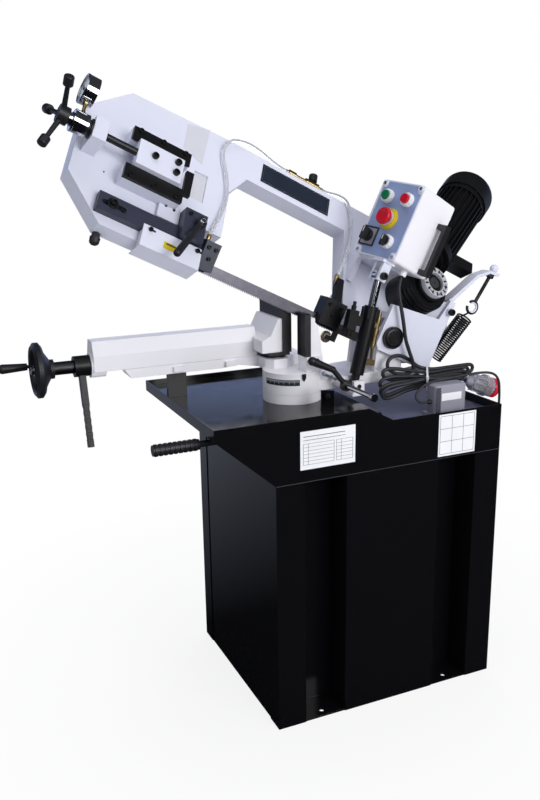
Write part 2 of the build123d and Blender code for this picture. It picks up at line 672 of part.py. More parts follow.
def piston_rod():
    """Rod with an eye that hangs with slack on the bow's pin."""
    rod = bar((0, 0, 92), (0, 0, CYL_SPAN - 8), PISTON_RADIUS)
    eye = bar((-9, 0, CYL_SPAN), (9, 0, CYL_SPAN), 15)
    hole = bar((-20, 0, CYL_SPAN), (20, 0, CYL_SPAN), CYL_PIN + EYE_SLOP)
    return CYL_FRAME * (rod + eye - hole)


# Bow casting in its own tilted frame: x along the blade, y up the bow, z to the operator
def bow_outline(inset):
    """Outline of the casting, drawn in by an inset for the rear cover."""
    left = IDLER_U - HEAD_EDGE
    points = [
        (left + HEAD_CHAMFER, BOTTOM), (left, BOTTOM + HEAD_CHAMFER), (left, SPINE_TOP - HEAD_CHAMFER - 12),
        (left + HEAD_CHAMFER + 2, SPINE_TOP - HEAD_DROP), (IDLER_U + HEAD_EDGE, SPINE_TOP),
        (DRIVE_U - 115, SPINE_TOP), (DRIVE_U + 40, WHEEL_V + 152),
        (DRIVE_U, WHEEL_V), (DRIVE_U - 100, WHEEL_V - 123), (THROAT_RIGHT, WHEEL_V - 108),
        (THROAT_RIGHT - 25, SPINE_LOW), (THROAT_LEFT + 38, SPINE_LOW), (THROAT_LEFT, SPINE_LOW - 57),
        (THROAT_LEFT, GUIDE_NOTCH), (BAR_RIGHT - 6, GUIDE_NOTCH), (BAR_RIGHT - 6, BOTTOM),
    ]
    sketch = make_face(Polyline(*points, close=True))
    sketch = sketch + Pos(DRIVE_U, WHEEL_V) * Circle(DRIVE_HOUSING)
    if inset:
        sketch = offset(sketch, -inset, kind=Kind.INTERSECTION)
    return sketch


def slab(sketch, low, high):
    """Sketch drawn out from one level to another."""
    return Pos(0, 0, low) * extrude(sketch, high - low)


def disc(u, v, radius, low, high):
    """Round plate across the bow's plane."""
    return bar((u, v, low), (u, v, high), radius)


def wheel_space(u, travel, low, high):
    """Room for a wheel that may travel a little along the bow."""
    reach = WHEEL_RADIUS + 4
    room = disc(u, WHEEL_V, reach, low, high)
    if travel:
        room = room + disc(u + travel, WHEEL_V, reach, low, high)
        room = room + block((u, u + travel), (WHEEL_V - reach, WHEEL_V + reach), (low, high))
    return room


RAIL_N = 55.0
RAIL_TOP = 65.0
RAIL_LENGTH = 138.0
SLIDE_HALF = 36.0
RAIL_HEIGHT = 28.0
KEEPER_LIP = 5.0
KEEPER_THICK = 4.0
SLIDER_TOP = 78.0
SCREW_N = 68.0
STUD_RADIUS = 8.0
NUT_U = -829.0
NUT_WIDTH = 30.0
NUT_HALF = 26.0
NUT_TOP = 86.0
CHEEK_V = 122.0
TOWER_U = 118.0
TOWER_WIDTH = 16.0
TOWER_V = 176.0
POCKET_U = (-572.0, -538.0)
POCKET_V = (140.0, 212.0)
POCKET_DEEP = 3.0


def cheek(points, low):
    """Plate square to the hinge axis, drawn in the cut frame."""
    return prism(points, low, low + CHEEK_THICK)


def hinge_cheeks():
    """Front and rear cheeks with their webs, drawn in the cut frame."""
    front_z = SWIVEL_Y - (FRONT_LUG_Y - 2)
    front = cheek([
        (-34, 4), (-24, -8), (TOWER_U + TOWER_WIDTH, -8), (TOWER_U + TOWER_WIDTH, TOWER_V),
        (TOWER_U, TOWER_V), (TOWER_U - 12, CHEEK_V), (-34, CHEEK_V - 16),
    ], front_z)
    web_low = PIVOT_RISE + LUG_RADIUS + 7
    web = block((-30, TOWER_U + 4), (web_low, web_low + 14), (-24, front_z + 1))
    front = joined([front, web]) - bar(
        (TOWER_U + TOWER_WIDTH / 2, TOWER_V - 26, front_z - 1),
        (TOWER_U + TOWER_WIDTH / 2, TOWER_V - 26, front_z + CHEEK_THICK + 1), 6 + RUN_FIT,
    )
    rear_z = SWIVEL_Y - (REAR_LUG_Y + LUG_THICK + 2) - CHEEK_THICK
    rear = cheek([(-112, 14), (0, 2), (34, 12), (34, 56), (0, 66), (-112, 78)], rear_z)
    rear_web = block((-112, -88), (14, 78), (rear_z, -18))
    return front, rear + rear_web


def bow_frame():
    """Casting: walls, front plate, hinge cheeks, tension bosses and box bracket."""
    body = slab(bow_outline(0), -BOW_HALF, BOW_HALF)
    bosses = [
        block((NUT_U, NUT_U + NUT_WIDTH), (WHEEL_V - NUT_HALF, WHEEL_V + NUT_HALF), (BOW_HALF - 1, NUT_TOP)),
        block((-640, -588), (52, 106), (BOW_HALF - 1, BOW_HALF + 10)),
    ]
    for side in (-1, 1):
        near = WHEEL_V + side * (SLIDE_HALF - KEEPER_LIP)
        far = WHEEL_V + side * (SLIDE_HALF + RAIL_HEIGHT)
        bosses.append(block(
            (IDLER_U - RAIL_LENGTH / 2, IDLER_U + RAIL_LENGTH / 2), sorted((near, far)), (BOW_HALF - 1, RAIL_N),
        ))
    body = joined([body] + bosses)
    back = -BOW_HALF - 1
    face = BOW_HALF - FRONT_WALL
    front_cheek, rear_cheek = hinge_cheeks()
    lean = Location((0, 0, 0), (TILT, 0, 0))
    body = body + lean * front_cheek
    body = body + lean * rear_cheek
    body = body + lean * box_bracket()
    body = body - wheel_space(IDLER_U, SLACK + 3, back, face)
    body = body - wheel_space(DRIVE_U, 0, back, face)
    top = WHEEL_V + WHEEL_RADIUS
    body = body - block((IDLER_U, DRIVE_U), (top - 16, top + 14), (back, face))
    body = body - block((IDLER_U, THROAT_LEFT + 1), (-16, 24), (back, face))
    body = body - block((THROAT_RIGHT - 20, DRIVE_U), (-16, 24), (back, face))
    axle = disc(IDLER_U, WHEEL_V, 16, face - 1, RAIL_N + 1)
    axle = axle + disc(IDLER_U + SLACK + 3, WHEEL_V, 16, face - 1, RAIL_N + 1)
    axle = axle + block((IDLER_U, IDLER_U + SLACK + 3), (WHEEL_V - 16, WHEEL_V + 16), (face - 1, RAIL_N + 1))
    body = body - axle
    body = body - block(POCKET_U, POCKET_V, (BOW_HALF - POCKET_DEEP, BOW_HALF + 1))
    body = body - disc(DRIVE_U, WHEEL_V, 17, face - 1, BOW_HALF + 1)
    thread = (NUT_U - 1, WHEEL_V, SCREW_N)
    body = body - bar(thread, (NUT_U + NUT_WIDTH + 1, WHEEL_V, SCREW_N), STUD_RADIUS + RUN_FIT)
    hinge = bar((0, PIVOT_RISE, -140), (0, PIVOT_RISE, 90), HINGE_RADIUS)
    body = body - lean * hinge
    return BOW * body


def box_bracket():
    """Shelf below the control box with the cylinder's upper clevis, drawn in the cut frame."""
    under = BOX_V - BOX_HEIGHT / 2
    u, v = CYL_BOW
    shelf = block((u - 18, u + 80), (under - 7, under), (-96, 30))
    pad = block((u - 18, u + 18), (under - 7, under), (28, CYL_BOW_Z + 21))
    rib = block((u - 18, u - 4), (120, under - 6), (-84, -30))
    near = block((u - 12, u + 12), (v - 13, under - 6), (CYL_BOW_Z + 11, CYL_BOW_Z + 19))
    far = block((u - 12, u + 12), (v - 13, under - 6), (CYL_BOW_Z - 19, CYL_BOW_Z - 11))
    pin = bar((u, v, CYL_BOW_Z - 19), (u, v, CYL_BOW_Z + 19), CYL_PIN)
    return joined([shelf, pad, rib, near, far, pin])


def rear_cover():
    """Flat sheet cover with a raised rim line, screwed to the back of the casting."""
    plate = slab(bow_outline(1.5), -BOW_HALF - COVER_THICK, -BOW_HALF)
    notch = block((-150, -84), (-30, 112), (-BOW_HALF - COVER_THICK - 1, -BOW_HALF + 1))
    return BOW * (plate - notch)


def hinge_pins():
    """Two headed pins pressed into the cheeks."""
    front_low = FRONT_LUG_Y - 2 - CHEEK_THICK
    rear_high = REAR_LUG_Y + LUG_THICK + 2 + CHEEK_THICK
    front = bar((PIVOT_X, front_low - 2, PIVOT_Z), (PIVOT_X, FRONT_LUG_Y + LUG_THICK, PIVOT_Z), HINGE_RADIUS)
    front = front + bar((PIVOT_X, front_low - 9, PIVOT_Z), (PIVOT_X, front_low, PIVOT_Z), 27)
    rear = bar((PIVOT_X, REAR_LUG_Y, PIVOT_Z), (PIVOT_X, rear_high + 2, PIVOT_Z), HINGE_RADIUS)
    rear = rear + bar((PIVOT_X, rear_high, PIVOT_Z), (PIVOT_X, rear_high + 9, PIVOT_Z), 27)
    return Compound(children=[front, rear])


# Blade loop: toothed cutting run, two quarter twists, two wheel arcs and the return run
TOP_EDGE = (BLADE_BODY + TOOTH_DEPTH) / 2
LOW_EDGE = TOP_EDGE - BLADE_BODY


def blade_section(u, angle):
    """Rectangle across the blade, turned about the blade line; 0 lies on the wheel."""
    turn = math.radians(angle)
    wide = Vector(0, math.sin(turn), math.cos(turn))
    plane = Plane(origin=(u, 0, 0), x_dir=wide, z_dir=(1, 0, 0))
    return plane * Pos((TOP_EDGE + LOW_EDGE) / 2, 0) * Rectangle(BLADE_BODY, BLADE_THICK)


def saw_blade():
    """Toothed band: two straight runs, the twists and the arcs round both wheels."""
    full = 90 - TILT
    span = CUT_RIGHT - CUT_LEFT
    count = round(span / TOOTH_PITCH)
    pitch = span / count
    edge = [(CUT_LEFT, TOP_EDGE), (CUT_LEFT, LOW_EDGE)]
    for tooth in range(count):
        start = CUT_LEFT + tooth * pitch
        edge.append((start + pitch * 0.3, LOW_EDGE))
        edge.append((start + pitch * 0.9, LOW_EDGE - TOOTH_DEPTH))
        edge.append((start + pitch, LOW_EDGE))
    edge.append((CUT_RIGHT, TOP_EDGE))
    cutting = Location((0, 0, 0), (TILT, 0, 0)) * prism(edge, -BLADE_THICK / 2, BLADE_THICK / 2)
    steps = 5
    pieces = [cutting]
    for wheel, cut in ((IDLER_U, CUT_LEFT), (DRIVE_U, CUT_RIGHT)):
        start = wheel + math.copysign(TWIST_LEAD, cut - wheel)
        sections = [
            blade_section(start + (cut - start) * k / steps, full * k / steps) for k in range(steps + 1)
        ]
        pieces.append(loft(sections, ruled=True))
        run = sorted((wheel, start))
        pieces.append(block(run, (-BLADE_THICK / 2, BLADE_THICK / 2), (LOW_EDGE, TOP_EDGE)))
    outer = WHEEL_V + BLADE_THICK / 2
    inner = outer - BLADE_THICK
    for wheel, side in ((IDLER_U, -1), (DRIVE_U, 1)):
        ring = disc(wheel, WHEEL_V, outer, LOW_EDGE, TOP_EDGE)
        ring = ring - disc(wheel, WHEEL_V, inner, LOW_EDGE, TOP_EDGE)
        pieces.append(ring & block(sorted((wheel, wheel + side * 2 * outer)), (-outer, 3 * outer), (-60, 60)))
    pieces.append(block((IDLER_U, DRIVE_U), (WHEEL_V + inner, WHEEL_V + outer), (LOW_EDGE, TOP_EDGE)))
    return BOW * joined(pieces)


def band_wheel(u, bore):
    """Spoked wheel with a rim."""
    half = WHEEL_WIDTH / 2
    wheel = disc(u, WHEEL_V, WHEEL_RADIUS, -half, half)
    wheel = wheel - (disc(u, WHEEL_V, WHEEL_RADIUS - 14, 4, half + 1) - disc(u, WHEEL_V, 34, 3, half + 2))
    wheel = wheel - (disc(u, WHEEL_V, WHEEL_RADIUS - 14, -half - 1, -4) - disc(u, WHEEL_V, 34, -half - 2, -3))
    for spoke in range(5):
        turn = math.radians(72 * spoke + 36)
        wheel = wheel - disc(u + 84 * math.cos(turn), WHEEL_V + 84 * math.sin(turn), 32, -half, half)
    return wheel - disc(u, WHEEL_V, bore, -half - 1, half + 1)


AXLE_RADIUS = 12.0
SHAFT_RADIUS = 14.0


def idler_wheel():
    """Band wheel on the tension slider's axle."""
    return BOW * band_wheel(IDLER_U, AXLE_RADIUS + RUN_FIT)


def drive_wheel():
    """Band wheel on the gearbox's output shaft."""
    return BOW * band_wheel(DRIVE_U, SHAFT_RADIUS)


# Blade tension
END_STOP_LAP = 3.0
END_STOP_WIDE = 18.0
END_STOP_RISE = 20.0


def tension_rails():
    """Two keeper bars over the slider, each with a lip over its foot, and an end stop on the lower one."""
    rails = []
    for side in (-1, 1):
        near = WHEEL_V + side * (SLIDE_HALF - KEEPER_LIP)
        far = WHEEL_V + side * (SLIDE_HALF + RAIL_HEIGHT)
        rails.append(block(
            (IDLER_U - RAIL_LENGTH / 2, IDLER_U + RAIL_LENGTH / 2), sorted((near, far)), (RAIL_N, RAIL_TOP),
        ))
    lower, upper = [rail - slider_room() for rail in rails]
    start = IDLER_U + RAIL_LENGTH / 2 - END_STOP_LAP
    low = WHEEL_V - SLIDE_HALF - KEEPER_LIP
    stop = block((start, start + END_STOP_WIDE), (low, WHEEL_V + END_STOP_RISE), (RAIL_N, RAIL_TOP))
    return BOW * Compound(children=[lower + stop, upper])


SLIDER_LEFT = -54.0
SLIDER_RIGHT = 52.0


def slider_room():
    """Room for the slider's wide foot below the keeper bars."""
    half = SLIDE_HALF + FACE_GAP
    long = (IDLER_U - RAIL_LENGTH, IDLER_U + RAIL_LENGTH)
    return block(long, (WHEEL_V - half, WHEEL_V + half), (RAIL_N - 1, RAIL_TOP - KEEPER_THICK))


def tension_slider():
    """Slider block with the idler's axle and the screw's socket."""
    left = IDLER_U + SLIDER_LEFT
    right = IDLER_U + SLIDER_RIGHT
    foot_low = RAIL_N + FACE_GAP
    foot_top = RAIL_TOP - KEEPER_THICK - FACE_GAP
    foot = block((left, right), (WHEEL_V - SLIDE_HALF, WHEEL_V + SLIDE_HALF), (foot_low, foot_top))
    waist = SLIDE_HALF - KEEPER_LIP - FACE_GAP
    head = block((left, right), (WHEEL_V - waist, WHEEL_V + waist), (foot_low, SLIDER_TOP))
    axle = disc(IDLER_U, WHEEL_V, AXLE_RADIUS, -WHEEL_WIDTH / 2 - 4, RAIL_N + 4)
    socket = bar((left - 1, WHEEL_V, SCREW_N), (left + 22, WHEEL_V, SCREW_N), STUD_RADIUS + FACE_GAP)
    return BOW * (joined([foot, head, axle]) - socket)


CELL_RADIUS = 23.5
CELL_LEFT = -872.0
CELL_LENGTH = 32.0
CELL_NECK = 8.0
NECK_RADIUS = 13.0
COLLAR_RADIUS = 16.0
GAUGE_U = CELL_LEFT + 18.0
GAUGE_V = 84.0
GAUGE_RADIUS = 32.0
GAUGE_DEPTH = 27.0
GAUGE_RIM = 3.5
STEM_RADIUS = 3.5


def tension_gauge():
    """Hydraulic load cell round the screw, stem and dial gauge facing the left end."""
    right = CELL_LEFT + CELL_LENGTH
    v = WHEEL_V + GAUGE_V
    face = GAUGE_U - GAUGE_DEPTH / 2
    back = GAUGE_U + GAUGE_DEPTH / 2
    stem_low = WHEEL_V + CELL_RADIUS - 4
    pieces = [
        bar((CELL_LEFT - CELL_NECK, WHEEL_V, SCREW_N), (CELL_LEFT, WHEEL_V, SCREW_N), NECK_RADIUS),
        bar((CELL_LEFT, WHEEL_V, SCREW_N), (right, WHEEL_V, SCREW_N), CELL_RADIUS),
        bar((right, WHEEL_V, SCREW_N), (NUT_U, WHEEL_V, SCREW_N), COLLAR_RADIUS),
        bar((GAUGE_U, stem_low, SCREW_N), (GAUGE_U, v - GAUGE_RADIUS + 4, SCREW_N), STEM_RADIUS),
        bar((face, v, SCREW_N), (back, v, SCREW_N), GAUGE_RADIUS),
    ]
    recess = bar((face - 1, v, SCREW_N), (face + GAUGE_RIM, v, SCREW_N), GAUGE_RADIUS - GAUGE_RIM)
    left = CELL_LEFT - CELL_NECK - 1
    bore = bar((left, WHEEL_V, SCREW_N), (NUT_U + 1, WHEEL_V, SCREW_N), STUD_RADIUS + FACE_GAP)
    return BOW * (joined(pieces) - recess - bore)


STAR_REACH = 72.0
STAR_LEAN = 20.0
STAR_PHASE = 65.0
HUB_LENGTH = 22.0
HUB_RADIUS = 19.0
KNOB_HALF = 11.0
KNOB_RADIUS = 10.5
KNOB_ROUND = 3.5


def star_handle():
    """Tension screw with a three-armed star handle whose arms lean outward to their knobs."""
    hub_right = CELL_LEFT - CELL_NECK - FACE_GAP
    left = hub_right - HUB_LENGTH
    inner_end = IDLER_U + SLIDER_LEFT + 20
    pieces = [
        bar((hub_right - 10, WHEEL_V, SCREW_N), (inner_end, WHEEL_V, SCREW_N), STUD_RADIUS),
        bar((left, WHEEL_V, SCREW_N), (hub_right, WHEEL_V, SCREW_N), HUB_RADIUS),
    ]
    base = Vector(left + HUB_LENGTH / 2, WHEEL_V, SCREW_N)
    for arm in range(3):
        turn = math.radians(STAR_PHASE + 120 * arm)
        end = base + Vector(-STAR_LEAN, STAR_REACH * math.cos(turn), STAR_REACH * math.sin(turn))
        way = (end - base).normalized()
        knob = bar(tuple(end - way * KNOB_HALF), tuple(end + way * KNOB_HALF), KNOB_RADIUS)
        pieces.append(bar(tuple(base + way * 10), tuple(end), 6, 4.5))
        pieces.append(fillet(knob.edges().filter_by(GeomType.CIRCLE), KNOB_ROUND))
    return BOW * joined(pieces)


# Blade guides
BAR_V = 2.0
BAR_HEIGHT = 42.0
BAR_LEFT = -772.0
BAR_N = BOW_HALF + FACE_GAP
BAR_THICK = 18.0
BAR_SLOT = (14.0, 58.0)
BAR_SLOT_HALF = 6.0


def guide_bar():
    """Sliding bar with the left guide at its end; rollers either side of the blade."""
    flat = block((BAR_LEFT, BAR_RIGHT), (BAR_V, BAR_V + BAR_HEIGHT), (BAR_N, BAR_N + BAR_THICK))
    middle = BAR_V + BAR_HEIGHT / 2
    near, far = [BAR_LEFT + reach for reach in BAR_SLOT]
    through = (BAR_N - 1, BAR_N + BAR_THICK + 1)
    slot = block((near, far), (middle - BAR_SLOT_HALF, middle + BAR_SLOT_HALF), through)
    slot = slot + disc(near, middle, BAR_SLOT_HALF, *through) + disc(far, middle, BAR_SLOT_HALF, *through)
    lean = Location((0, 0, 0), (TILT, 0, 0))
    head = block((BAR_RIGHT, BAR_RIGHT + 36), (-7, 58), (-16, 38))
    gap = block((BAR_RIGHT - 1, BAR_RIGHT + 37), (-20, TOP_EDGE + 3), (-5, 5))
    rollers = [
        bar((BAR_RIGHT + 18, -5, side * (5 + BLADE_THICK)), (BAR_RIGHT + 18, 16, side * (5 + BLADE_THICK)), 5)
        for side in (-1, 1)
    ]
    return BOW * (flat - slot + lean * joined([head - gap] + rollers))


def blade_guard():
    """Folded cover in front of and below the blade beside the guide bar."""
    left = BAR_RIGHT - 141
    right = BAR_RIGHT
    front = BAR_N + BAR_THICK
    plate = block((left, right), (-38, BAR_V + 12), (front, front + SHEET))
    foot = block((left, right), (-38, -38 + SHEET), (-11, front + SHEET))
    lip = block((left, left + SHEET), (-38, BAR_V - FACE_GAP), (BOW_HALF + 1, front + SHEET))
    return BOW * joined([plate, foot, lip])


CLAMP_LEFT = -587.0
CLAMP_WIDTH = 53.0


def guide_clamp():
    """Fixed clamp block bridging the guide bar."""
    whole = block((CLAMP_LEFT, CLAMP_LEFT + CLAMP_WIDTH), (BAR_V + BAR_HEIGHT + FACE_GAP, 86), (BOW_HALF, 60))
    nose = block(
        (CLAMP_LEFT, CLAMP_LEFT + CLAMP_WIDTH), (BAR_V + 16, 86), (BAR_N + BAR_THICK + SHEET + FACE_GAP, 60),
    )
    return BOW * (whole + nose)


LEVER_HUB = (-552.0, 56.0)


def guide_lever():
    """Clamp lever on the guide block."""
    u, v = LEVER_HUB
    hub = disc(u, v, 11, 60 + FACE_GAP, 78)
    tip = (u - 46, v - 104, 88)
    arm = bar((u, v, 70), tip, 6.5, 8.5)
    return BOW * joined([hub, arm, Pos(*tip) * Sphere(8.5)])


GUIDE_LEFT = -188.0
GUIDE_RIGHT = -130.0


def right_guide():
    """Fixed guide block on the bow's leg with its rollers."""
    head = block((GUIDE_LEFT, GUIDE_RIGHT), (-5, 58), (-18, 24))
    gap = block((GUIDE_LEFT - 1, GUIDE_RIGHT + 1), (-20, TOP_EDGE + 3), (-5, 5))
    rollers = [
        bar((u, -4, side * (5 + BLADE_THICK)), (u, 16, side * (5 + BLADE_THICK)), 5)
        for u in (GUIDE_LEFT + 16, GUIDE_RIGHT - 14) for side in (-1, 1)
    ]
    lean = Location((0, 0, 0), (TILT, 0, 0))
    stem = block((GUIDE_LEFT + 26, GUIDE_RIGHT - 12), (46, 110), (BOW_HALF, BOW_HALF + 16))
    plate = (BRUSH_FACE + 1.3, BRUSH_FACE + 6.3)
    bracket = block((BRUSH_U - 5, BRUSH_U + 22), (BRUSH_V - 5, BRUSH_V + 5), plate)
    bracket = bracket + block((BRUSH_U + 8, BRUSH_U + 22), (BRUSH_V - 5, 2), plate)
    axle = bar((BRUSH_U, BRUSH_V, BRUSH_FACE - 7), (BRUSH_U, BRUSH_V, plate[1]), BRUSH_BORE)
    return BOW * (lean * joined([head - gap, bracket, axle] + rollers) + stem)


BRUSH_U = -143.5
BRUSH_V = -28.5
BRUSH_RADIUS = 14.5
BRUSH_FACE = 11.7
BRUSH_BORE = 3.0


def chip_brush():
    """Wire brush wheel that turns against the teeth."""
    wheel = bar((BRUSH_U, BRUSH_V, 3), (BRUSH_U, BRUSH_V, BRUSH_FACE), BRUSH_RADIUS)
    hub = bar((BRUSH_U, BRUSH_V, -1), (BRUSH_U, BRUSH_V, BRUSH_FACE), BRUSH_RADIUS / 2)
    bore = bar((BRUSH_U, BRUSH_V, -4), (BRUSH_U, BRUSH_V, 2 * BRUSH_FACE), BRUSH_BORE + RUN_FIT)
    return CUT * (wheel + hub - bore)


# Gearbox and motor
MOTOR_DIR = Vector(math.cos(math.radians(MOTOR_ANGLE)), math.sin(math.radians(MOTOR_ANGLE)), 0)
MOTOR_FOOT = Vector(
    DRIVE_U - WORM_OFFSET * math.sin(math.radians(MOTOR_ANGLE)),
    WHEEL_V + WORM_OFFSET * math.cos(math.radians(MOTOR_ANGLE)), WORM_N,
)


def along(distance):
    """Point on the motor's axis."""
    return tuple(MOTOR_FOOT + MOTOR_DIR * distance)


WORM_WHEEL = 34.0
WORM_RADIUS = 11.0
BOX_RELIEF = 1.0


def gearbox():
    """Ribbed worm gear housing on the bow's front, relieved where the control box passes."""
    box = disc(DRIVE_U, WHEEL_V, GEAR_RADIUS, BOW_HALF, WORM_N + 20)
    box = box + disc(DRIVE_U, WHEEL_V, GEAR_RADIUS - 14, WORM_N, GEAR_FRONT)
    for rib in range(4):
        low = WORM_N - 32.0 + rib * 13
        box = box + disc(DRIVE_U, WHEEL_V, GEAR_RADIUS + 3, low, low + 5)
    box = box + bar(along(-46), along(MOTOR_START), WORM_RADIUS + 9)
    box = box + bar(along(MOTOR_START - 12), along(MOTOR_START), MOTOR_RADIUS - 14)
    hollow = disc(DRIVE_U, WHEEL_V, WORM_WHEEL + 4, WORM_N - 18, WORM_N + 18)
    tunnel = bar(along(-40), along(MOTOR_START + 1), WORM_RADIUS + 4)
    shaft = disc(DRIVE_U, WHEEL_V, SHAFT_RADIUS + RUN_FIT, BOW_HALF - 1, GEAR_FRONT + 1)
    corner = block(
        (-BOX_WIDTH / 2, BOX_WIDTH / 2), (-BOX_HEIGHT / 2 - BOX_RELIEF, BOX_HEIGHT / 2),
        (-BOX_DEPTH / 2 - BOX_RELIEF, BOX_DEPTH / 2),
    )
    return BOW * (box - hollow - tunnel - shaft) - BOX * corner


def gear_flange():
    """Bright slotted end ring on the gearbox."""
    ring = disc(DRIVE_U, WHEEL_V, 39, GEAR_FRONT, GEAR_FRONT + 13)
    ring = ring - disc(DRIVE_U, WHEEL_V, 24, GEAR_FRONT + 5, GEAR_FRONT + 14)
    ring = ring - disc(DRIVE_U, WHEEL_V, SHAFT_RADIUS + FACE_GAP, GEAR_FRONT - 1, GEAR_FRONT + 14)
    for slot in range(6):
        turn = math.radians(60 * slot)
        place = Pos(DRIVE_U + 32 * math.cos(turn), WHEEL_V + 32 * math.sin(turn), GEAR_FRONT + 11)
        ring = ring - place * Rot(0, 0, 60 * slot) * Box(5, 15, 6)
    return BOW * ring


def output_shaft():
    """Drive shaft with its bronze worm wheel."""
    shaft = disc(DRIVE_U, WHEEL_V, SHAFT_RADIUS, -WHEEL_WIDTH / 2, GEAR_FRONT + 8)
    wheel = disc(DRIVE_U, WHEEL_V, WORM_WHEEL, WORM_N - 14, WORM_N + 14)
    for tooth in range(24):
        turn = math.radians(15 * tooth)
        reach = WORM_WHEEL + 1.2
        wheel = wheel - disc(
            DRIVE_U + reach * math.cos(turn), WHEEL_V + reach * math.sin(turn), 2.6, WORM_N - 15, WORM_N + 15,
        )
    return BOW * (shaft + wheel)


MOTOR_END = MOTOR_START + MOTOR_LENGTH
ROTOR_RADIUS = 36.0
TERMINAL_U = (112.0, 190.0)
TERMINAL_V = (240.0, 268.0)
TERMINAL_N = (90.0, 130.0)
TERMINAL_ROUND = 6.0


def motor_body():
    """Finned motor housing with end shields and a hollow for the rotor."""
    body = bar(along(MOTOR_START), along(MOTOR_END), MOTOR_RADIUS - 8)
    body = body + bar(along(MOTOR_START), along(MOTOR_START + 22), MOTOR_RADIUS)
    body = body + bar(along(MOTOR_END - 14), along(MOTOR_END), MOTOR_RADIUS)
    frame = Plane(origin=along(MOTOR_START + 20), x_dir=(0, 0, 1), z_dir=tuple(MOTOR_DIR)).location
    for fin in range(28):
        plate = block((MOTOR_RADIUS - 12, MOTOR_RADIUS), (-1.5, 1.5), (0, MOTOR_LENGTH - 32))
        body = body + frame * Rot(0, 0, fin * 360 / 28) * plate
    terminal = block(TERMINAL_U, TERMINAL_V, TERMINAL_N)
    body = body + fillet(terminal.edges().group_by(Axis.X)[-1], TERMINAL_ROUND)
    hollow = bar(along(MOTOR_START + 30), along(MOTOR_END - 24), ROTOR_RADIUS + 1)
    bore = bar(along(MOTOR_START - 1), along(MOTOR_END + 1), 9 + RUN_FIT)
    return BOW * (body - hollow - bore)


def motor_rotor():
    """Rotor, shaft, worm and cooling fan turning together."""
    shaft = bar(along(-38), along(MOTOR_END + 34), 9)
    worm = bar(along(-34), along(34), WORM_RADIUS)
    groove = joined([
        bar(along(-30 + k * 6.0), along(-27 + k * 6.0), WORM_RADIUS + 1) - bar(
            along(-31 + k * 6.0), along(-26 + k * 6.0), WORM_RADIUS - 2) for k in range(10)
    ])
    core = bar(along(MOTOR_START + 40), along(MOTOR_END - 34), ROTOR_RADIUS)
    hub = bar(along(MOTOR_END + 8), along(MOTOR_END + 34), 18)
    frame = Plane(origin=along(MOTOR_END + 10), x_dir=(0, 0, 1), z_dir=tuple(MOTOR_DIR)).location
    blade = block((14, MOTOR_RADIUS - 16), (-1.5, 1.5), (0, 22))
    blades = [frame * Rot(0, 0, 60 * k) * blade for k in range(6)]
    return BOW * joined([shaft + worm - groove, core, hub] + blades)


def fan_cowl():
    """Domed cover over the fan."""
    high = MOTOR_END + COWL_LENGTH
    outer = bar(along(MOTOR_END), along(high), MOTOR_RADIUS + 4)
    rim = outer.edges().filter_by(GeomType.CIRCLE).sort_by(Axis(along(0), tuple(MOTOR_DIR)))[-1]
    outer = fillet(rim, 26)
    inner = bar(along(MOTOR_END - 1), along(high - 8), MOTOR_RADIUS + 1)
    room = inner.edges().filter_by(GeomType.CIRCLE).sort_by(Axis(along(0), tuple(MOTOR_DIR)))[-1]
    cowl = outer - fillet(room, 22)
    frame = Plane(origin=along(high - 10), x_dir=(0, 0, 1), z_dir=tuple(MOTOR_DIR)).location
    for slot in range(12):
        cowl = cowl - frame * Rot(0, 0, 30 * slot) * block((16, 36), (-2.5, 2.5), (0, 12))
    return BOW * cowl


# Control box: x across the panel, y up, z out of the panel
BOX_WALL = 3.0


def control_box():
    """Hollow box with a closed back; the panel closes its front."""
    wide = (-BOX_WIDTH / 2, BOX_WIDTH / 2)
    tall = (-BOX_HEIGHT / 2, BOX_HEIGHT / 2)
    outer = block(wide, tall, (-BOX_DEPTH / 2, BOX_DEPTH / 2 - BOX_WALL))
    outer = fillet(outer.edges().filter_by(Axis.Z), 8)
    w = BOX_WALL
    inner = block(
        (-BOX_WIDTH / 2 + w, BOX_WIDTH / 2 - w), (-BOX_HEIGHT / 2 + w, BOX_HEIGHT / 2 - w),
        (-BOX_DEPTH / 2 + w, BOX_DEPTH / 2),
    )
    under = BOX_V - BOX_HEIGHT / 2
    nut = bar((GLAND[0], under - 14, GLAND[1]), (GLAND[0], under + 1, GLAND[1]), 9)
    return BOX * (outer - fillet(inner.edges().filter_by(Axis.Z), 6)) + CUT * nut


COLLAR_OUT = {"start": 12.0, "stop": 12.0, "emergency": 8.0, "main": 4.0, "selector": 12.0}
COLLAR_WALL = 4.0
BUTTON_OUT = 5.0
PLUG_DEEP = 22.0
MUSHROOM_RADIUS = 20.0
GRIP_LONG = 14.0
PANEL_HOLES = {
    "start": (-30.0, 53.0, 11.0),
    "stop": (35.0, 52.0, 11.0),
    "emergency": (0.0, 1.0, 11.0),
    "main": (-40.0, -48.0, 8.0),
    "selector": (27.0, -53.0, 11.0),
}


def control_panel():
    """Front plate with its five operator holes and their collars."""
    front = BOX_DEPTH / 2
    wide = (-BOX_WIDTH / 2, BOX_WIDTH / 2)
    plate = block(wide, (-BOX_HEIGHT / 2, BOX_HEIGHT / 2), (front - BOX_WALL, front))
    plate = fillet(plate.edges().filter_by(Axis.Z), 8)
    for name, (x, y, radius) in PANEL_HOLES.items():
        out = front + COLLAR_OUT[name]
        plate = plate + bar((x, y, front), (x, y, out), radius + COLLAR_WALL)
        plate = plate - bar((x, y, front - 10), (x, y, out + 10), radius + FACE_GAP)
    return BOX * plate


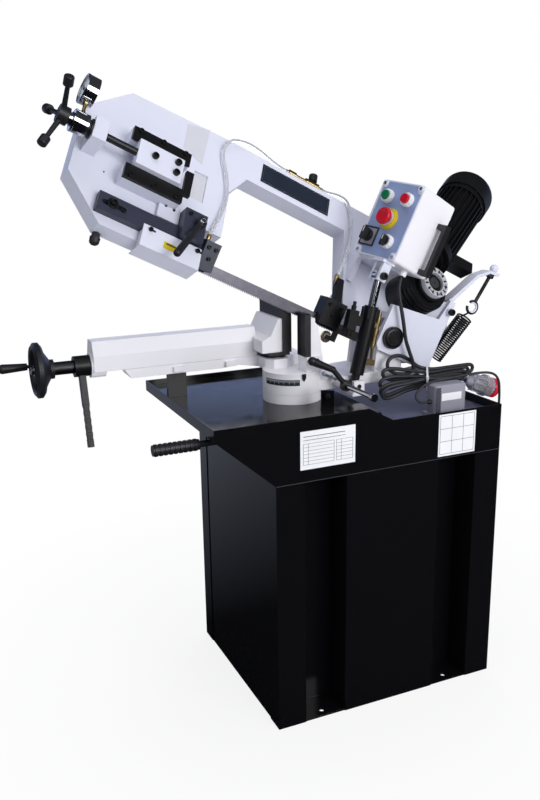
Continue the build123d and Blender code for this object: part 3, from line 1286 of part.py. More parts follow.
def panel_plug(name, out):
    """Round plug standing through one panel hole, a little way out of its collar."""
    x, y, radius = PANEL_HOLES[name]
    front = BOX_DEPTH / 2
    return bar((x, y, front - PLUG_DEEP), (x, y, front + COLLAR_OUT[name] + out), radius)


def start_button():
    """Green push button."""
    return BOX * panel_plug("start", BUTTON_OUT)


def stop_button():
    """Red push button, standing further out than the green one."""
    return BOX * panel_plug("stop", BUTTON_OUT + 2)


def emergency_stop():
    """Mushroom head on its stem, with room under the head for its stroke."""
    x, y = PANEL_HOLES["emergency"][:2]
    low = BOX_DEPTH / 2 + COLLAR_OUT["emergency"] + BUTTON_OUT
    neck = bar((x, y, low), (x, y, low + 5), MUSHROOM_RADIUS - 6, MUSHROOM_RADIUS)
    head = bar((x, y, low + 5), (x, y, low + 15), MUSHROOM_RADIUS)
    head = fillet(head.faces().sort_by(Axis.Z)[-1].edges(), 4)
    return BOX * (panel_plug("emergency", BUTTON_OUT + 2) + head + neck)


def main_switch():
    """Rotary switch with a straight grip across its round base."""
    x, y = PANEL_HOLES["main"][:2]
    low = BOX_DEPTH / 2 + COLLAR_OUT["main"] + FACE_GAP
    base = bar((x, y, low), (x, y, low + 8), GRIP_LONG + 1)
    grip = block((x - 5, x + 5), (y - GRIP_LONG - 1, y + GRIP_LONG + 1), (low + 6, low + 22))
    return BOX * (panel_plug("main", 6) + base + grip)


def selector_switch():
    """Selector with a pointer grip."""
    x, y = PANEL_HOLES["selector"][:2]
    low = BOX_DEPTH / 2 + COLLAR_OUT["selector"]
    grip = block((x - 4, x + 4), (y - GRIP_LONG, y + GRIP_LONG - 2), (low + 2, low + 13))
    return BOX * (panel_plug("selector", 4) + grip)


def bow_handles():
    """U handle on the box's operator side."""
    side = BOX_WIDTH / 2
    low = -89.0
    high = 38.0
    band = (-47.0, -28.0)
    handle = block((side + 18, side + 28), (low, high), band)
    handle = handle + block((side, side + 28), (low, low + 12), band)
    handle = handle + block((side, side + 28), (high - 12, high), band)
    return BOX * handle


# Spring arm on the right cheek, drawn in the cut frame
BALL = (220.0, 302.0)
EYE_POINT = (205.0, 190.0)
EYE_RING = 13.0
EYE_WIRE = 3.0
EYE_OPEN = 165.0
STRAP = 6.0


def spring_arm():
    """Cranked strap bolted behind the cheek, with an eyebolt, its ball nut and open ring."""
    z = SWIVEL_Y - SPRING_Y
    near = SWIVEL_Y - (FRONT_LUG_Y - 2)
    mid = TOWER_U + TOWER_WIDTH / 2
    leg = block((TOWER_U + 3, TOWER_U + TOWER_WIDTH), (TOWER_V - 40, TOWER_V + 6), (near - STRAP, near))
    strap = prism([
        (TOWER_U + 3, TOWER_V), (TOWER_U + 12, TOWER_V - 4), (BALL[0] - 44, BALL[1] - 42),
        (BALL[0] - 14, BALL[1] - 18), (BALL[0] + 14, BALL[1] - 14), (BALL[0] + 14, BALL[1] - 8),
        (BALL[0] - 18, BALL[1] - 11), (BALL[0] - 50, BALL[1] - 37),
    ], z - 18, near)
    nut = Pos(BALL[0], BALL[1], z) * Sphere(11)
    run = Vector(BALL[0] - EYE_POINT[0], BALL[1] - EYE_POINT[1], 0).normalized()
    low = Vector(EYE_POINT[0], EYE_POINT[1], z) + run * EYE_RING
    bolt = bar((BALL[0], BALL[1], z), tuple(low), 4)
    mouth = block((0, 2 * EYE_RING), (-2 * EYE_WIRE, 2 * EYE_WIRE), (-EYE_RING, EYE_RING))
    mouth = Rot(0, 0, EYE_OPEN) * mouth
    ring = Pos(EYE_POINT[0], EYE_POINT[1], z) * (Torus(EYE_RING, EYE_WIRE) - mouth)
    stud = bar((mid, TOWER_V - 26, near - 1), (mid, TOWER_V - 26, near + CHEEK_THICK + 1), 6)
    head = bar((mid, TOWER_V - 26, near + CHEEK_THICK), (mid, TOWER_V - 26, near + CHEEK_THICK + 7), 10)
    return CUT * joined([leg, strap, nut, bolt, ring, stud, head])


# Paths made of straight runs and pairs of tangent arcs
def biarc(start, start_dir, end, end_dir):
    """Two arcs that leave one point and reach another along given directions."""
    p0 = Vector(*start)
    p1 = Vector(*end)
    t0 = Vector(*start_dir).normalized()
    t1 = Vector(*end_dir).normalized()
    gap = p1 - p0
    both = t0 + t1
    spread = 2 * (1 - t0.dot(t1))
    lean = gap.dot(both)
    reach = (math.sqrt(lean * lean + spread * gap.dot(gap)) - lean) / spread
    middle = (p0 + p1 + (t0 - t1) * reach) * 0.5
    first = Edge.make_tangent_arc(p0, t0, middle)
    second = Edge.make_tangent_arc(middle, first.tangent_at(1), p1)
    return [first, second]


def tube(edges, radius):
    """Round section carried along joined edges."""
    path = Wire(edges)
    section = Plane(origin=path.position_at(0), z_dir=path.tangent_at(0)) * Circle(radius)
    return sweep(section, path=path)


def least_gap(edges, radius, apart):
    """Smallest clearance of a tube to itself, measured on points along its path."""
    path = Wire(edges)
    count = int(path.length / 3)
    points = [path.position_at(k / count) for k in range(count + 1)]
    skip = int(apart / 3)
    best = min(
        (points[a] - points[b]).length for a in range(count) for b in range(a + skip, count + 1)
    )
    return best - 2 * radius


def filleted(points):
    """Line through points with the largest even bends its runs allow."""
    radii = []
    for before, here, after in zip(points, points[1:], points[2:]):
        back = Vector(*before) - Vector(*here)
        forth = Vector(*after) - Vector(*here)
        turn = math.radians(180 - back.get_angle(forth))
        radii.append(0.45 * min(back.length, forth.length) / math.tan(turn / 2))
    line = FilletPolyline(*points, radius=radii)
    return line, min(radii)


# Counterbalance spring, turns wound as arcs round its axis
SPRING_TURNS = 22
SPRING_RADIUS = 16.5
SPRING_WIRE = 2.0
SPRING_TOP = (317.2, 903.0)
SPRING_END = (226.0, 806.9)
SPRING_FOOT_GAP = 10.2


def counter_spring():
    """Close-wound spring with a hook at each end."""
    low = Vector(SPRING_END[0], SPRING_Y, SPRING_END[1])
    high = Vector(SPRING_TOP[0], SPRING_Y, SPRING_TOP[1])
    axis = (high - low).normalized()
    length = (high - low).length
    side = Vector(0, 1, 0)
    other = axis.cross(side)
    quarters = SPRING_TURNS * 4
    rise = length / quarters

    def place(step):
        turn = math.pi / 2 * step
        out = side * math.cos(turn) + other * math.sin(turn)
        round_way = other * math.cos(turn) - side * math.sin(turn)
        slope = round_way * (SPRING_RADIUS * math.pi / 2) + axis * rise
        return low + axis * (rise * step) + out * SPRING_RADIUS, slope.normalized()

    edges = []
    first, first_dir = place(0)
    foot_low = Vector(SPRING_FOOT_X, SPRING_Y, SPRING_FOOT_Z) + axis * SPRING_FOOT_GAP
    foot_high = foot_low + axis * 4
    edges.append(Edge.make_line(foot_low, foot_high))
    edges += biarc(tuple(foot_high), tuple(axis), tuple(first), tuple(first_dir))
    for step in range(quarters):
        here, way = place(step)
        there, way_on = place(step + 1)
        edges += biarc(tuple(here), tuple(way), tuple(there), tuple(way_on))
    last, last_dir = place(quarters)
    eye = (CUT * Pos(EYE_POINT[0], EYE_POINT[1], SWIVEL_Y - SPRING_Y)).position
    hook_high = eye - (eye - high).normalized() * (EYE_RING + EYE_WIRE + FACE_GAP)
    reach = (eye - high).normalized()
    hook_low = hook_high - reach * 4
    edges += biarc(tuple(last), tuple(last_dir), tuple(hook_low), tuple(reach))
    edges.append(Edge.make_line(hook_low, hook_high))
    print("spring least gap", round(least_gap(edges, SPRING_WIRE, 30), 2))
    return tube(edges, SPRING_WIRE)


# Coolant tap on the spine and its clear hoses, in the bow frame
TAP_V = SPINE_TOP + 9.0
TAP_N = 12.0
TAP_LEFT = -336.0
TAP_RIGHT = -226.0
HOSE_RADIUS = 4.5
KNOB_U = -256.0


def coolant_tap():
    """Brass fittings along the spine's top edge with a fixing foot."""
    pipe = bar((TAP_LEFT, TAP_V, TAP_N), (TAP_RIGHT, TAP_V, TAP_N), 5)
    left = bar((TAP_LEFT + 8, TAP_V, TAP_N), (TAP_LEFT + 28, TAP_V, TAP_N), 8)
    body = bar((KNOB_U - 22, TAP_V, TAP_N), (KNOB_U + 16, TAP_V, TAP_N), 9)
    stem = bar((KNOB_U, TAP_V, TAP_N), (KNOB_U, TAP_V + 14, TAP_N), 4)
    foot = block((KNOB_U - 12, KNOB_U + 6), (SPINE_TOP, TAP_V), (TAP_N - 6, TAP_N + 6))
    return BOW * joined([pipe, left, body, stem, foot])


def tap_knob():
    """Round knob on the tap's stem."""
    knob = bar((KNOB_U, TAP_V + 10, TAP_N), (KNOB_U, TAP_V + 28, TAP_N), 11)
    bore = bar((KNOB_U, TAP_V, TAP_N), (KNOB_U, TAP_V + 15, TAP_N), 4 + RUN_FIT)
    return BOW * (knob - bore)


def coolant_hoses():
    """Left hose to the sliding guide's side and right hose to the fixed guide."""
    left = [
        (TAP_LEFT - FACE_GAP, TAP_V, TAP_N), (TAP_LEFT - 17, TAP_V, TAP_N), (-384, TAP_V + 4, 14),
        (-424, TAP_V + 12, 18), (-466, TAP_V + 5, 26), (-506, TAP_V - 14, 29), (-520, TAP_V - 56, 29),
        (-496, TAP_V - 110, 29), (-484, TAP_V - 160, 29), (-492, TAP_V - 216, 29), (-506, TAP_V - 262, 29),
        (-510, TAP_V - 284, 29),
    ]
    right = [
        (TAP_RIGHT + FACE_GAP, TAP_V, TAP_N), (TAP_RIGHT + 17, TAP_V, TAP_N), (-186, TAP_V + 4, 18),
        (-160, TAP_V - 3, 29), (-141, TAP_V - 36, 30), (-134, TAP_V - 84, 30), (-138, TAP_V - 136, 30),
        (-148, TAP_V - 186, 30), (-160, TAP_V - 230, 30),
    ]
    tubes = []
    for points in (left, right):
        line, bend = filleted(points)
        print("hose length", round(line.length), "least bend", round(bend, 1))
        section = Plane(origin=line @ 0, z_dir=line % 0) * Circle(HOSE_RADIUS)
        tubes.append(sweep(section, path=line))
    return BOW * Compound(children=tubes)


# Mains cord: drop from the control box, hank laid in the well, tie and plug
CORD_RADIUS = 4.5
GLAND = (-48.0, 62.0)
HANK_LOOPS = 4
HANK_LEFT = 85.0
HANK_RIGHT = 276.0
HANK_Y = -98.6
HANK_TOP = FLOOR_Z + 51.0
HANK_TALL = 62.0
HANK_STEP_Y = 10.0
HANK_STEP_Z = 7.0
HANK_STEP_X = 8.0
HANK_START = 190.0
TIE_X = 186.0
TIE_WALL = 0.6
PLUG_START = (252.0, -172.0, FLOOR_Z + 37.0)
PLUG_END = (340.0, -172.0, FLOOR_Z + 6.0)


def gland_point():
    """Where the lead leaves the gland."""
    return (CUT * Pos(GLAND[0], BOX_V - BOX_HEIGHT / 2 - 14, GLAND[1])).position


def mains_lead():
    """Free drop from the gland to the hank."""
    top = gland_point()
    straight = top - Vector(SIN_LIFT, 0, COS_LIFT) * 22
    points = [
        tuple(top), tuple(straight), (straight.X + 1, straight.Y - 9, straight.Z - 40),
        (108, -110, HANK_TOP + 130), (120, -111, HANK_TOP + 82), (134, -107, HANK_TOP + 38),
        (154, HANK_Y, HANK_TOP), (HANK_START, HANK_Y, HANK_TOP),
    ]
    line, bend = filleted(points)
    print("lead length", round(line.length), "least bend", round(bend, 1))
    section = Plane(origin=line @ 0, z_dir=line % 0) * Circle(CORD_RADIUS)
    return sweep(section, path=line)


def mains_hank():
    """Loops laid side by side and the tail to the plug, one unbroken tube."""
    right_way = (1, 0, 0)
    left_way = (-1, 0, 0)
    edges = []
    here = (HANK_START, HANK_Y, HANK_TOP)
    for loop in range(HANK_LOOPS):
        y = HANK_Y - HANK_STEP_Y * loop
        top = HANK_TOP - HANK_STEP_Z * loop
        low = top - HANK_TALL
        right = HANK_RIGHT - HANK_STEP_X * loop
        edges.append(Edge.make_line(here, (right, y, top)))
        edges += biarc((right, y, top), right_way, (right, y, low), left_way)
        edges.append(Edge.make_line((right, y, low), (HANK_LEFT, y, low)))
        last = loop == HANK_LOOPS - 1
        here = (HANK_LEFT, y - HANK_STEP_Y, HANK_TOP if last else top - HANK_STEP_Z)
        edges += biarc((HANK_LEFT, y, low), left_way, here, right_way)
    bend = (HANK_LEFT + 60, here[1], here[2])
    edges.append(Edge.make_line(here, bend))
    into = Vector(*PLUG_END) - Vector(*PLUG_START)
    edges += biarc(bend, right_way, PLUG_START, tuple(into))
    print("hank length", round(sum(edge.length for edge in edges)), "least gap",
          round(least_gap(edges, CORD_RADIUS, 60), 2))
    return tube(edges, CORD_RADIUS)


def mains_plug():
    """Plug body with its collar and end, and the tie round the hank."""
    start = Vector(*PLUG_START)
    way = (Vector(*PLUG_END) - start).normalized()

    def at(distance):
        return tuple(start + way * distance)

    body = joined([
        bar(at(0), at(16), 9, 14), bar(at(14), at(52), 19, 22),
        bar(at(50), at(64), 27), bar(at(62), at(92), 24),
    ])
    return Compound(children=[body - bar(at(80), at(95), 20), cord_tie()])


def cord_tie():
    """Band round the loops' upper runs."""
    last_y = HANK_Y - HANK_STEP_Y * (HANK_LOOPS - 1)
    last_z = HANK_TOP - HANK_STEP_Z * (HANK_LOOPS - 1)
    r = CORD_RADIUS + FACE_GAP
    lean = math.atan2(HANK_STEP_Z, HANK_STEP_Y)
    mid = Location((TIE_X, (HANK_Y + last_y) / 2, (HANK_TOP + last_z) / 2), (math.degrees(lean), 0, 0))
    half = math.hypot(HANK_Y - last_y, HANK_TOP - last_z) / 2 + r
    outer = Box(5, 2 * half + 2 * TIE_WALL, 2 * r + 2 * TIE_WALL)
    return mid * (outer - Box(6, 2 * half, 2 * r))


NODES = {
    "stand_panels": stand_panels,
    "stand_side_panels": stand_side_panels,
    "chip_tray": chip_tray,
    "tray_lever": tray_lever,
    "coolant_pump": coolant_pump,
    "turret_base": turret_base,
    "vise_bed": vise_bed,
    "tray_brackets": tray_brackets,
    "fixed_jaw": fixed_jaw,
    "vise_plates": vise_plates,
    "jaw_beam": jaw_beam,
    "jaw_plate": jaw_plate,
    "vise_screw": vise_screw,
    "handwheel": handwheel,
    "crank_grip": crank_grip,
    "clamp_lever": clamp_lever,
    "swivel_arm": swivel_arm,
    "stop_rod": stop_rod,
    "lock_lever": lock_lever,
    "feed_cylinder": feed_cylinder,
    "cylinder_fittings": cylinder_fittings,
    "piston_rod": piston_rod,
    "bow_frame": bow_frame,
    "rear_cover": rear_cover,
    "hinge_pins": hinge_pins,
    "saw_blade": saw_blade,
    "idler_wheel": idler_wheel,
    "drive_wheel": drive_wheel,
    "tension_rails": tension_rails,
    "tension_slider": tension_slider,
    "tension_gauge": tension_gauge,
    "star_handle": star_handle,
    "guide_bar": guide_bar,
    "blade_guard": blade_guard,
    "guide_clamp": guide_clamp,
    "guide_lever": guide_lever,
    "right_guide": right_guide,
    "chip_brush": chip_brush,
    "gearbox": gearbox,
    "gear_flange": gear_flange,
    "output_shaft": output_shaft,
    "motor_body": motor_body,
    "motor_rotor": motor_rotor,
    "fan_cowl": fan_cowl,
    "control_box": control_box,
    "control_panel": control_panel,
    "start_button": start_button,
    "stop_button": stop_button,
    "emergency_stop": emergency_stop,
    "main_switch": main_switch,
    "selector_switch": selector_switch,
    "bow_handles": bow_handles,
    "spring_arm": spring_arm,
    "counter_spring": counter_spring,
    "coolant_tap": coolant_tap,
    "tap_knob": tap_knob,
    "coolant_hoses": coolant_hoses,
    "mains_lead": mains_lead,
    "mains_hank": mains_hank,
    "mains_plug": mains_plug,
}

for name, make in NODES.items():
    piece = make()
    export_step(piece, f"parts/{name}.step")
    print(name, len(piece.solids()), round(piece.volume))
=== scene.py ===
import json
import math

import bmesh
import bpy
from bpy.props import FloatProperty, FloatVectorProperty, IntProperty, PointerProperty
from mathutils import Matrix, Vector


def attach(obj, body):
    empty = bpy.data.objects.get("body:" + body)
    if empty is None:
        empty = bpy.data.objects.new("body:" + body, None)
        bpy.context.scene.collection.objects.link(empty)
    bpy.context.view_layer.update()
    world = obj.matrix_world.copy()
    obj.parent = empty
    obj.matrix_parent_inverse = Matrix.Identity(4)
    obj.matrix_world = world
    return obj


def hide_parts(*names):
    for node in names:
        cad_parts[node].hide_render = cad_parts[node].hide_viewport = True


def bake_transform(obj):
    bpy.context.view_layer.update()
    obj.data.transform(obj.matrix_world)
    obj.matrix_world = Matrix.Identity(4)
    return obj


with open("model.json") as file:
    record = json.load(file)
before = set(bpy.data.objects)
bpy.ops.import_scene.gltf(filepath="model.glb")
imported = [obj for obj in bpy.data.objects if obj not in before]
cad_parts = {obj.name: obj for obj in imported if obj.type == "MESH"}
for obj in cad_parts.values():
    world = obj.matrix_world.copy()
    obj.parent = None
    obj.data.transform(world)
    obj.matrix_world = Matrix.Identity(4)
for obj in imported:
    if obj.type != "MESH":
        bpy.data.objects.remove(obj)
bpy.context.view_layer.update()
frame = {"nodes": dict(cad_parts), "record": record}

bl_info = {
    "name": "Metal Band Saw Looks",
    "version": (1, 0, 0),
    "blender": (4, 5, 0),
    "location": "View3D > Sidebar > Band Saw",
    "description": "Dresses the packed band saw with finishes, cords and trim",
    "category": "Object",
}

MM = 0.001

# Local frames of the tilted bow: cut (along the blade), bow (leaned back) and box (control panel)
LIFT = math.radians(26.24)
TILT = math.radians(29.23)
PANEL_TURN = math.radians(14.65 - 90.0)
CUT_ORIGIN = Vector((70.643, -35.0, 847.269))
CUT = Matrix((
    (math.cos(LIFT), math.sin(LIFT), 0.0, CUT_ORIGIN.x),
    (0.0, 0.0, -1.0, CUT_ORIGIN.y),
    (-math.sin(LIFT), math.cos(LIFT), 0.0, CUT_ORIGIN.z),
    (0.0, 0.0, 0.0, 1.0),
))
BOW = CUT @ Matrix.Rotation(-TILT, 4, "X")
BOX = CUT @ Matrix.Translation((-70.0, 281.4, 24.8)) @ Matrix.Rotation(PANEL_TURN, 4, "Y")
WORLD = Matrix.Identity(4)
METRES = Matrix.Scale(MM, 4)
SHARP_ANGLE = math.radians(35)


def linear(text):
    """Hex sRGB colour as linear red, green and blue."""
    def channel(value):
        return value / 12.92 if value <= 0.04045 else ((value + 0.055) / 1.055) ** 2.4
    return tuple(channel(int(text[k:k + 2], 16) / 255) for k in (0, 2, 4))


class SawFinishes(bpy.types.PropertyGroup):
    """Main colours of the saw."""
    paint: FloatVectorProperty(
        name="Casting paint", description="Enamel on the bow, vise and box", subtype="COLOR", min=0, max=1,
        default=linear("DDDFEE"))
    enamel: FloatVectorProperty(
        name="Stand enamel", description="Gloss enamel on the stand and tray", subtype="COLOR", min=0, max=1,
        default=linear("0C0C0E"))
    panel: FloatVectorProperty(
        name="Panel", description="Overlay of the control panel", subtype="COLOR", min=0, max=1,
        default=linear("90A3CC"))


class SawSizes(bpy.types.PropertyGroup):
    """Sizes of the flexible and wound pieces."""
    cord: FloatProperty(
        name="Cord diameter", description="Mains cord over its sheath", unit="LENGTH", default=0.009)
    lead: FloatProperty(
        name="Pump lead", description="Lead of the pump over its sheath", unit="LENGTH", default=0.006)
    hose: FloatProperty(
        name="Hose diameter", description="Coolant hose outside", unit="LENGTH", default=0.009)
    wire: FloatProperty(
        name="Spring wire", description="Diameter of the spring's wire", unit="LENGTH", default=0.0045)
    coils: IntProperty(name="Spring coils", description="Turns of the counterbalance spring", default=22)


def add(tree, kind, inputs=None, **settings):
    """One shader node with its settings, and its sockets set or linked."""
    made = tree.nodes.new(kind)
    for key, value in settings.items():
        setattr(made, key, value)
    for key, value in (inputs or {}).items():
        if isinstance(value, bpy.types.NodeSocket):
            tree.links.new(value, made.inputs[key])
        else:
            made.inputs[key].default_value = value
    return made


def ramp(tree, value, start, end, low=0.0, high=1.0):
    """Output of a node that takes a value from one range to another."""
    return add(tree, "ShaderNodeMapRange", {
        "Value": value, "From Min": start, "From Max": end, "To Min": low, "To Max": high}).outputs[0]


def calc(tree, operation, first, second):
    """Output of a node that puts two values together."""
    return add(tree, "ShaderNodeMath", {0: first, 1: second}, operation=operation).outputs[0]


FINISH = {}


def coat(
        slot, name, main, other, patch_mm, rough, grain_mm, depth_mm, edge_mm=0.0, stretch=(1, 1, 1),
        sockets=None):
    """Keeps a finish whose colour wanders over patches and whose roughness and relief follow a grain.

    A colour is a hex text, or linear red, green and blue. Patches, grain and edges are at real sizes.
    """
    main, other = (linear(colour) if isinstance(colour, str) else colour for colour in (main, other))
    made = bpy.data.materials.new(name)
    made.use_nodes = True
    tree = made.node_tree
    shader = tree.nodes["Principled BSDF"]
    for key, value in (sockets or {}).items():
        shader.inputs[key].default_value = value
    place = add(tree, "ShaderNodeTexCoord")
    mapped = add(tree, "ShaderNodeMapping", {"Vector": place.outputs["Object"], "Scale": stretch})
    patch = add(tree, "ShaderNodeTexNoise", {
        "Vector": mapped.outputs[0], "Scale": 1000 / patch_mm, "Detail": 4.0})
    colour = add(
        tree, "ShaderNodeMix", {0: patch.outputs["Fac"], 6: (*main, 1), 7: (*other, 1)}, data_type="RGBA")
    grain = add(tree, "ShaderNodeTexNoise", {
        "Vector": mapped.outputs[0], "Scale": 1000 / grain_mm, "Detail": 2.0})
    spread = ramp(tree, grain.outputs["Fac"], 0.3, 0.7, *rough)
    bump = add(tree, "ShaderNodeBump", {
        "Height": grain.outputs["Fac"], "Strength": 1.0, "Distance": depth_mm * MM})
    if edge_mm:
        edge = add(tree, "ShaderNodeBevel", {"Radius": edge_mm * MM}, samples=4)
        tree.links.new(edge.outputs[0], bump.inputs["Normal"])
    tree.links.new(colour.outputs[2], shader.inputs["Base Color"])
    tree.links.new(spread, shader.inputs["Roughness"])
    tree.links.new(bump.outputs[0], shader.inputs["Normal"])
    FINISH[slot] = made


def make_finishes(finishes):
    """Every finish of the saw, named for what the real one is."""
    paint = tuple(finishes.paint)
    enamel = tuple(finishes.enamel)
    metal = {"Metallic": 1.0}
    # Sprayed enamel over filled castings: soft gloss, faint orange peel, edges a little rounded by the film
    coat(
        "white_paint", "white_casting_enamel", paint, "D6D8E6", 160, (0.28, 0.4), 3.0, 0.03, 1.6,
        sockets={"Specular IOR Level": 0.35})
    # Same enamel on the vise, turret, arm and box, painted whiter: a lit copy of the casting paint that
    # paints in light the lamps don't give these parts
    coat(
        "casting_paint_lit_copy", "casting_enamel_lit_copy", "F3F1F5", "EAE8EE", 160, (0.28, 0.4), 3.0, 0.03, 1.6,
        sockets={"Specular IOR Level": 0.35})
    # Stoved gloss enamel on folded sheet: near black, clear reflections, slight ripple of the sheet
    coat(
        "black_enamel", "black_stoved_enamel", enamel, "0E0E12", 240, (0.13, 0.19), 30.0, 0.004, 1.2,
        sockets={"Specular IOR Level": 0.4})
    # Satin black paint on cast and machined parts
    coat(
        "black_casting", "black_satin_paint", "0B0B0D", "131316", 60, (0.3, 0.46), 1.6, 0.04, 0.8,
        sockets={"Specular IOR Level": 0.35})
    # Chemically blackened steel
    coat(
        "dark_steel", "blackened_steel", "3A3A3E", "4A494C", 40, (0.35, 0.5), 1.2, 0.02, 0.6, sockets=metal)
    # Ground steel, fine lines along the part
    coat(
        "bright_steel", "ground_steel", "B9BABD", "A5A6AA", 30, (0.24, 0.38), 0.8, 0.006, 0.5, (1, 1, 8),
        metal)
    coat(
        "chrome_plate", "chrome_plate", "D2D4D8", "C4C7CC", 40, (0.06, 0.12), 2.0, 0.002, 0.4, sockets=metal)
    # Hardened saw strip with a bluish cast
    coat(
        "blade_steel", "blue_saw_strip", "84828C", "6B6A74", 14, (0.25, 0.42), 0.6, 0.004, 0.0, (1, 6, 1),
        metal)
    coat(
        "brass_fitting", "turned_brass", "C9B483", "A98F5C", 12, (0.2, 0.36), 0.6, 0.006, 0.4, sockets=metal)
    # Moulded plastic with a fine spark-eroded grain
    coat(
        "black_plastic", "black_moulded_plastic", "16161A", "202024", 30, (0.36, 0.52), 0.9, 0.04, 1.0)
    coat(
        "cast_grey", "grey_cast_iron", "6C6C70", "5A5A5E", 20, (0.4, 0.6), 1.4, 0.06, 0.8, sockets=metal)
    coat(
        "alloy", "cast_aluminium", "C9CACD", "AFB0B4", 16, (0.22, 0.4), 0.9, 0.02, 0.5, sockets=metal)
    # Turned aluminium left with fine tool lines, which scatter most of what falls on it
    coat(
        "machined_alloy", "machined_aluminium", "D6D7DC", "C6C7CD", 10, (0.3, 0.42), 0.8, 0.006, 0.4,
        sockets={"Metallic": 0.3})
    coat(
        "grey_plastic", "grey_moulded_plastic", "9C9CA8", "8D8D9A", 40, (0.35, 0.5), 1.1, 0.03, 1.0)
    # Printed polycarbonate overlay, slightly textured
    coat(
        "panel_grey", "panel_overlay", tuple(finishes.panel), "8899C2", 50, (0.34, 0.46), 0.7, 0.012, 0.6)
    coat(
        "green_button", "green_moulded_plastic", "0B7A48", "0A6B40", 8, (0.2, 0.3), 0.8, 0.008, 0.6)
    coat(
        "red_button", "red_moulded_plastic", "D0122C", "BC0E26", 12, (0.18, 0.28), 0.8, 0.008, 0.8)
    coat(
        "yellow_plastic", "yellow_moulded_plastic", "E0C61E", "CDB412", 12, (0.25, 0.35), 0.8, 0.008, 0.4)
    coat(
        "bezel_white", "white_bezel_plastic", "F0F0F2", "E4E4E8", 12, (0.2, 0.3), 0.8, 0.006, 0.3)
    # Clear flexible tube, whitish where its wall is seen on edge
    coat(
        "clear_hose", "clear_tube", "ECEDF0", "DCDDE2", 18, (0.06, 0.14), 2.0, 0.004, 0.0,
        sockets={"Transmission Weight": 0.72, "IOR": 1.25})
    # Rubber sheath, dull with a faint dust bloom
    coat(
        "cord_rubber", "black_rubber_sheath", "1B1B20", "29292F", 25, (0.42, 0.6), 1.0, 0.02)
    coat(
        "spring_steel", "black_spring_wire", "111113", "1C1C1F", 10, (0.22, 0.36), 0.8, 0.01)
    # Cold blued bar, a little violet where it catches light
    coat(
        "blued_steel", "blued_bar_steel", "2B2E40", "333648", 50, (0.32, 0.46), 1.2, 0.012, 0.6)
    # Lavender-grey satin sheet on the well's floor: painted reflection of the pale room in the glossy black
    # floor, greyer than the gloss outside
    coat(
        "well_reflection_paint", "painted_well_reflection", "5E5F75", "66677D", 120, (0.45, 0.55), 20.0, 0.02)
    # Packed brass wire bristles, drawn coarse enough to show
    coat(
        "bristle", "brass_wire_bristle", "8A6A45", "5A4228", 3, (0.5, 0.7), 1.2, 0.3)
    coat(
        "label_white", "white_label_film", "F2F2F4", "E8E8EC", 60, (0.35, 0.45), 1.2, 0.004)
    # Gauge card, near white with a little blue: painted reflection of its glass, which is not modelled
    coat(
        "dial_white", "gauge_card", "F4F8FF", "E8EEF8", 30, (0.12, 0.2), 2.0, 0.002)
    # Pale grey film: a label on the head, and painted shade on the floor of the head's pocket
    coat(
        "pale_film_and_pocket_shade", "pale_label_film_and_pocket_shade", "D2D3DA", "C8C9D2", 60, (0.4, 0.5), 1.5, 0.004)
    # Dark grey moulded plastic of the pump's band; the same grey on the skirt's hem is a painted highlight
    coat(
        "dark_grey_plastic_and_hem_highlight", "dark_grey_moulded_plastic_and_hem_highlight", "4A4A54", "42424C", 30, (0.36, 0.5), 1.0, 0.03, 0.6)
    coat("ruled_ink", "ruled_ink", "2A2A30", "34343A", 20, (0.4, 0.5), 1.0, 0.002)
    coat(
        "name_plate", "dark_printed_plate", "1B2230", "232B3B", 40, (0.3, 0.42), 1.2, 0.004, 0.4)
    # Tough clear plug shell over a grey insert
    coat(
        "clear_plug", "smoky_clear_plastic", "D8D8E0", "C6C6D0", 20, (0.1, 0.2), 2.0, 0.01, 0.8,
        sockets={"Transmission Weight": 0.7, "IOR": 1.3})


NODE_FINISH = {n["node"]: n["material_slot"] for n in frame["record"]["subparts"]}
# Finishes that replace the record's; the vise, turret, arm and box take the lit copy of the casting paint,
# whose whiter colour is painted light
NODE_LOOK = {
    "control_panel": "white_paint", "guide_bar": "blued_steel", "guide_clamp": "blued_steel",
    "clamp_lever": "black_casting", "gear_flange": "machined_alloy", "control_box": "casting_paint_lit_copy",
    "jaw_beam": "casting_paint_lit_copy", "vise_bed": "casting_paint_lit_copy", "fixed_jaw": "casting_paint_lit_copy", "swivel_arm": "casting_paint_lit_copy",
    "turret_base": "casting_paint_lit_copy",
}


def keep(name, shape, finish, body, smooth=True):
    """Object at the origin from a bmesh in millimetres, riding on a body, with its finish's slot if asked."""
    bmesh.ops.transform(shape, matrix=METRES, verts=shape.verts)
    if smooth:
        for face in shape.faces:
            face.smooth = True
    data = bpy.data.meshes.new(name)
    shape.to_mesh(data)
    shape.free()
    if smooth:
        data.set_sharp_from_angle(angle=SHARP_ANGLE)
    data.materials.append(FINISH[finish])
    piece = bpy.data.objects.new(name, data)
    bpy.context.scene.collection.objects.link(piece)
    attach(piece, body)
    return piece


def turned(shape, profile, place=WORLD, steps=40, angle=math.tau):
    """Adds a body of revolution about the local Z axis, from a profile of (radius, height)."""
    verts = [shape.verts.new((r, 0, z)) for r, z in profile]
    edges = [shape.edges.new(pair) for pair in zip(verts, verts[1:])]
    bmesh.ops.spin(
        shape, geom=verts + edges, cent=(0, 0, 0), axis=(0, 0, 1), angle=angle, steps=steps,
        use_merge=angle == math.tau)
    group = grow([v for v in verts if v.is_valid])
    bmesh.ops.remove_doubles(shape, verts=group, dist=1e-4)
    group = [v for v in group if v.is_valid]
    faces = list({f for v in group for f in v.link_faces})
    bmesh.ops.recalc_face_normals(shape, faces=faces)
    bmesh.ops.transform(shape, matrix=place, verts=group)


def grow(seeds):
    """All vertices joined to the seeds by edges."""
    found = set(seeds)
    front = list(seeds)
    while front:
        vert = front.pop()
        for edge in vert.link_edges:
            other = edge.other_vert(vert)
            if other not in found:
                found.add(other)
                front.append(other)
    return list(found)


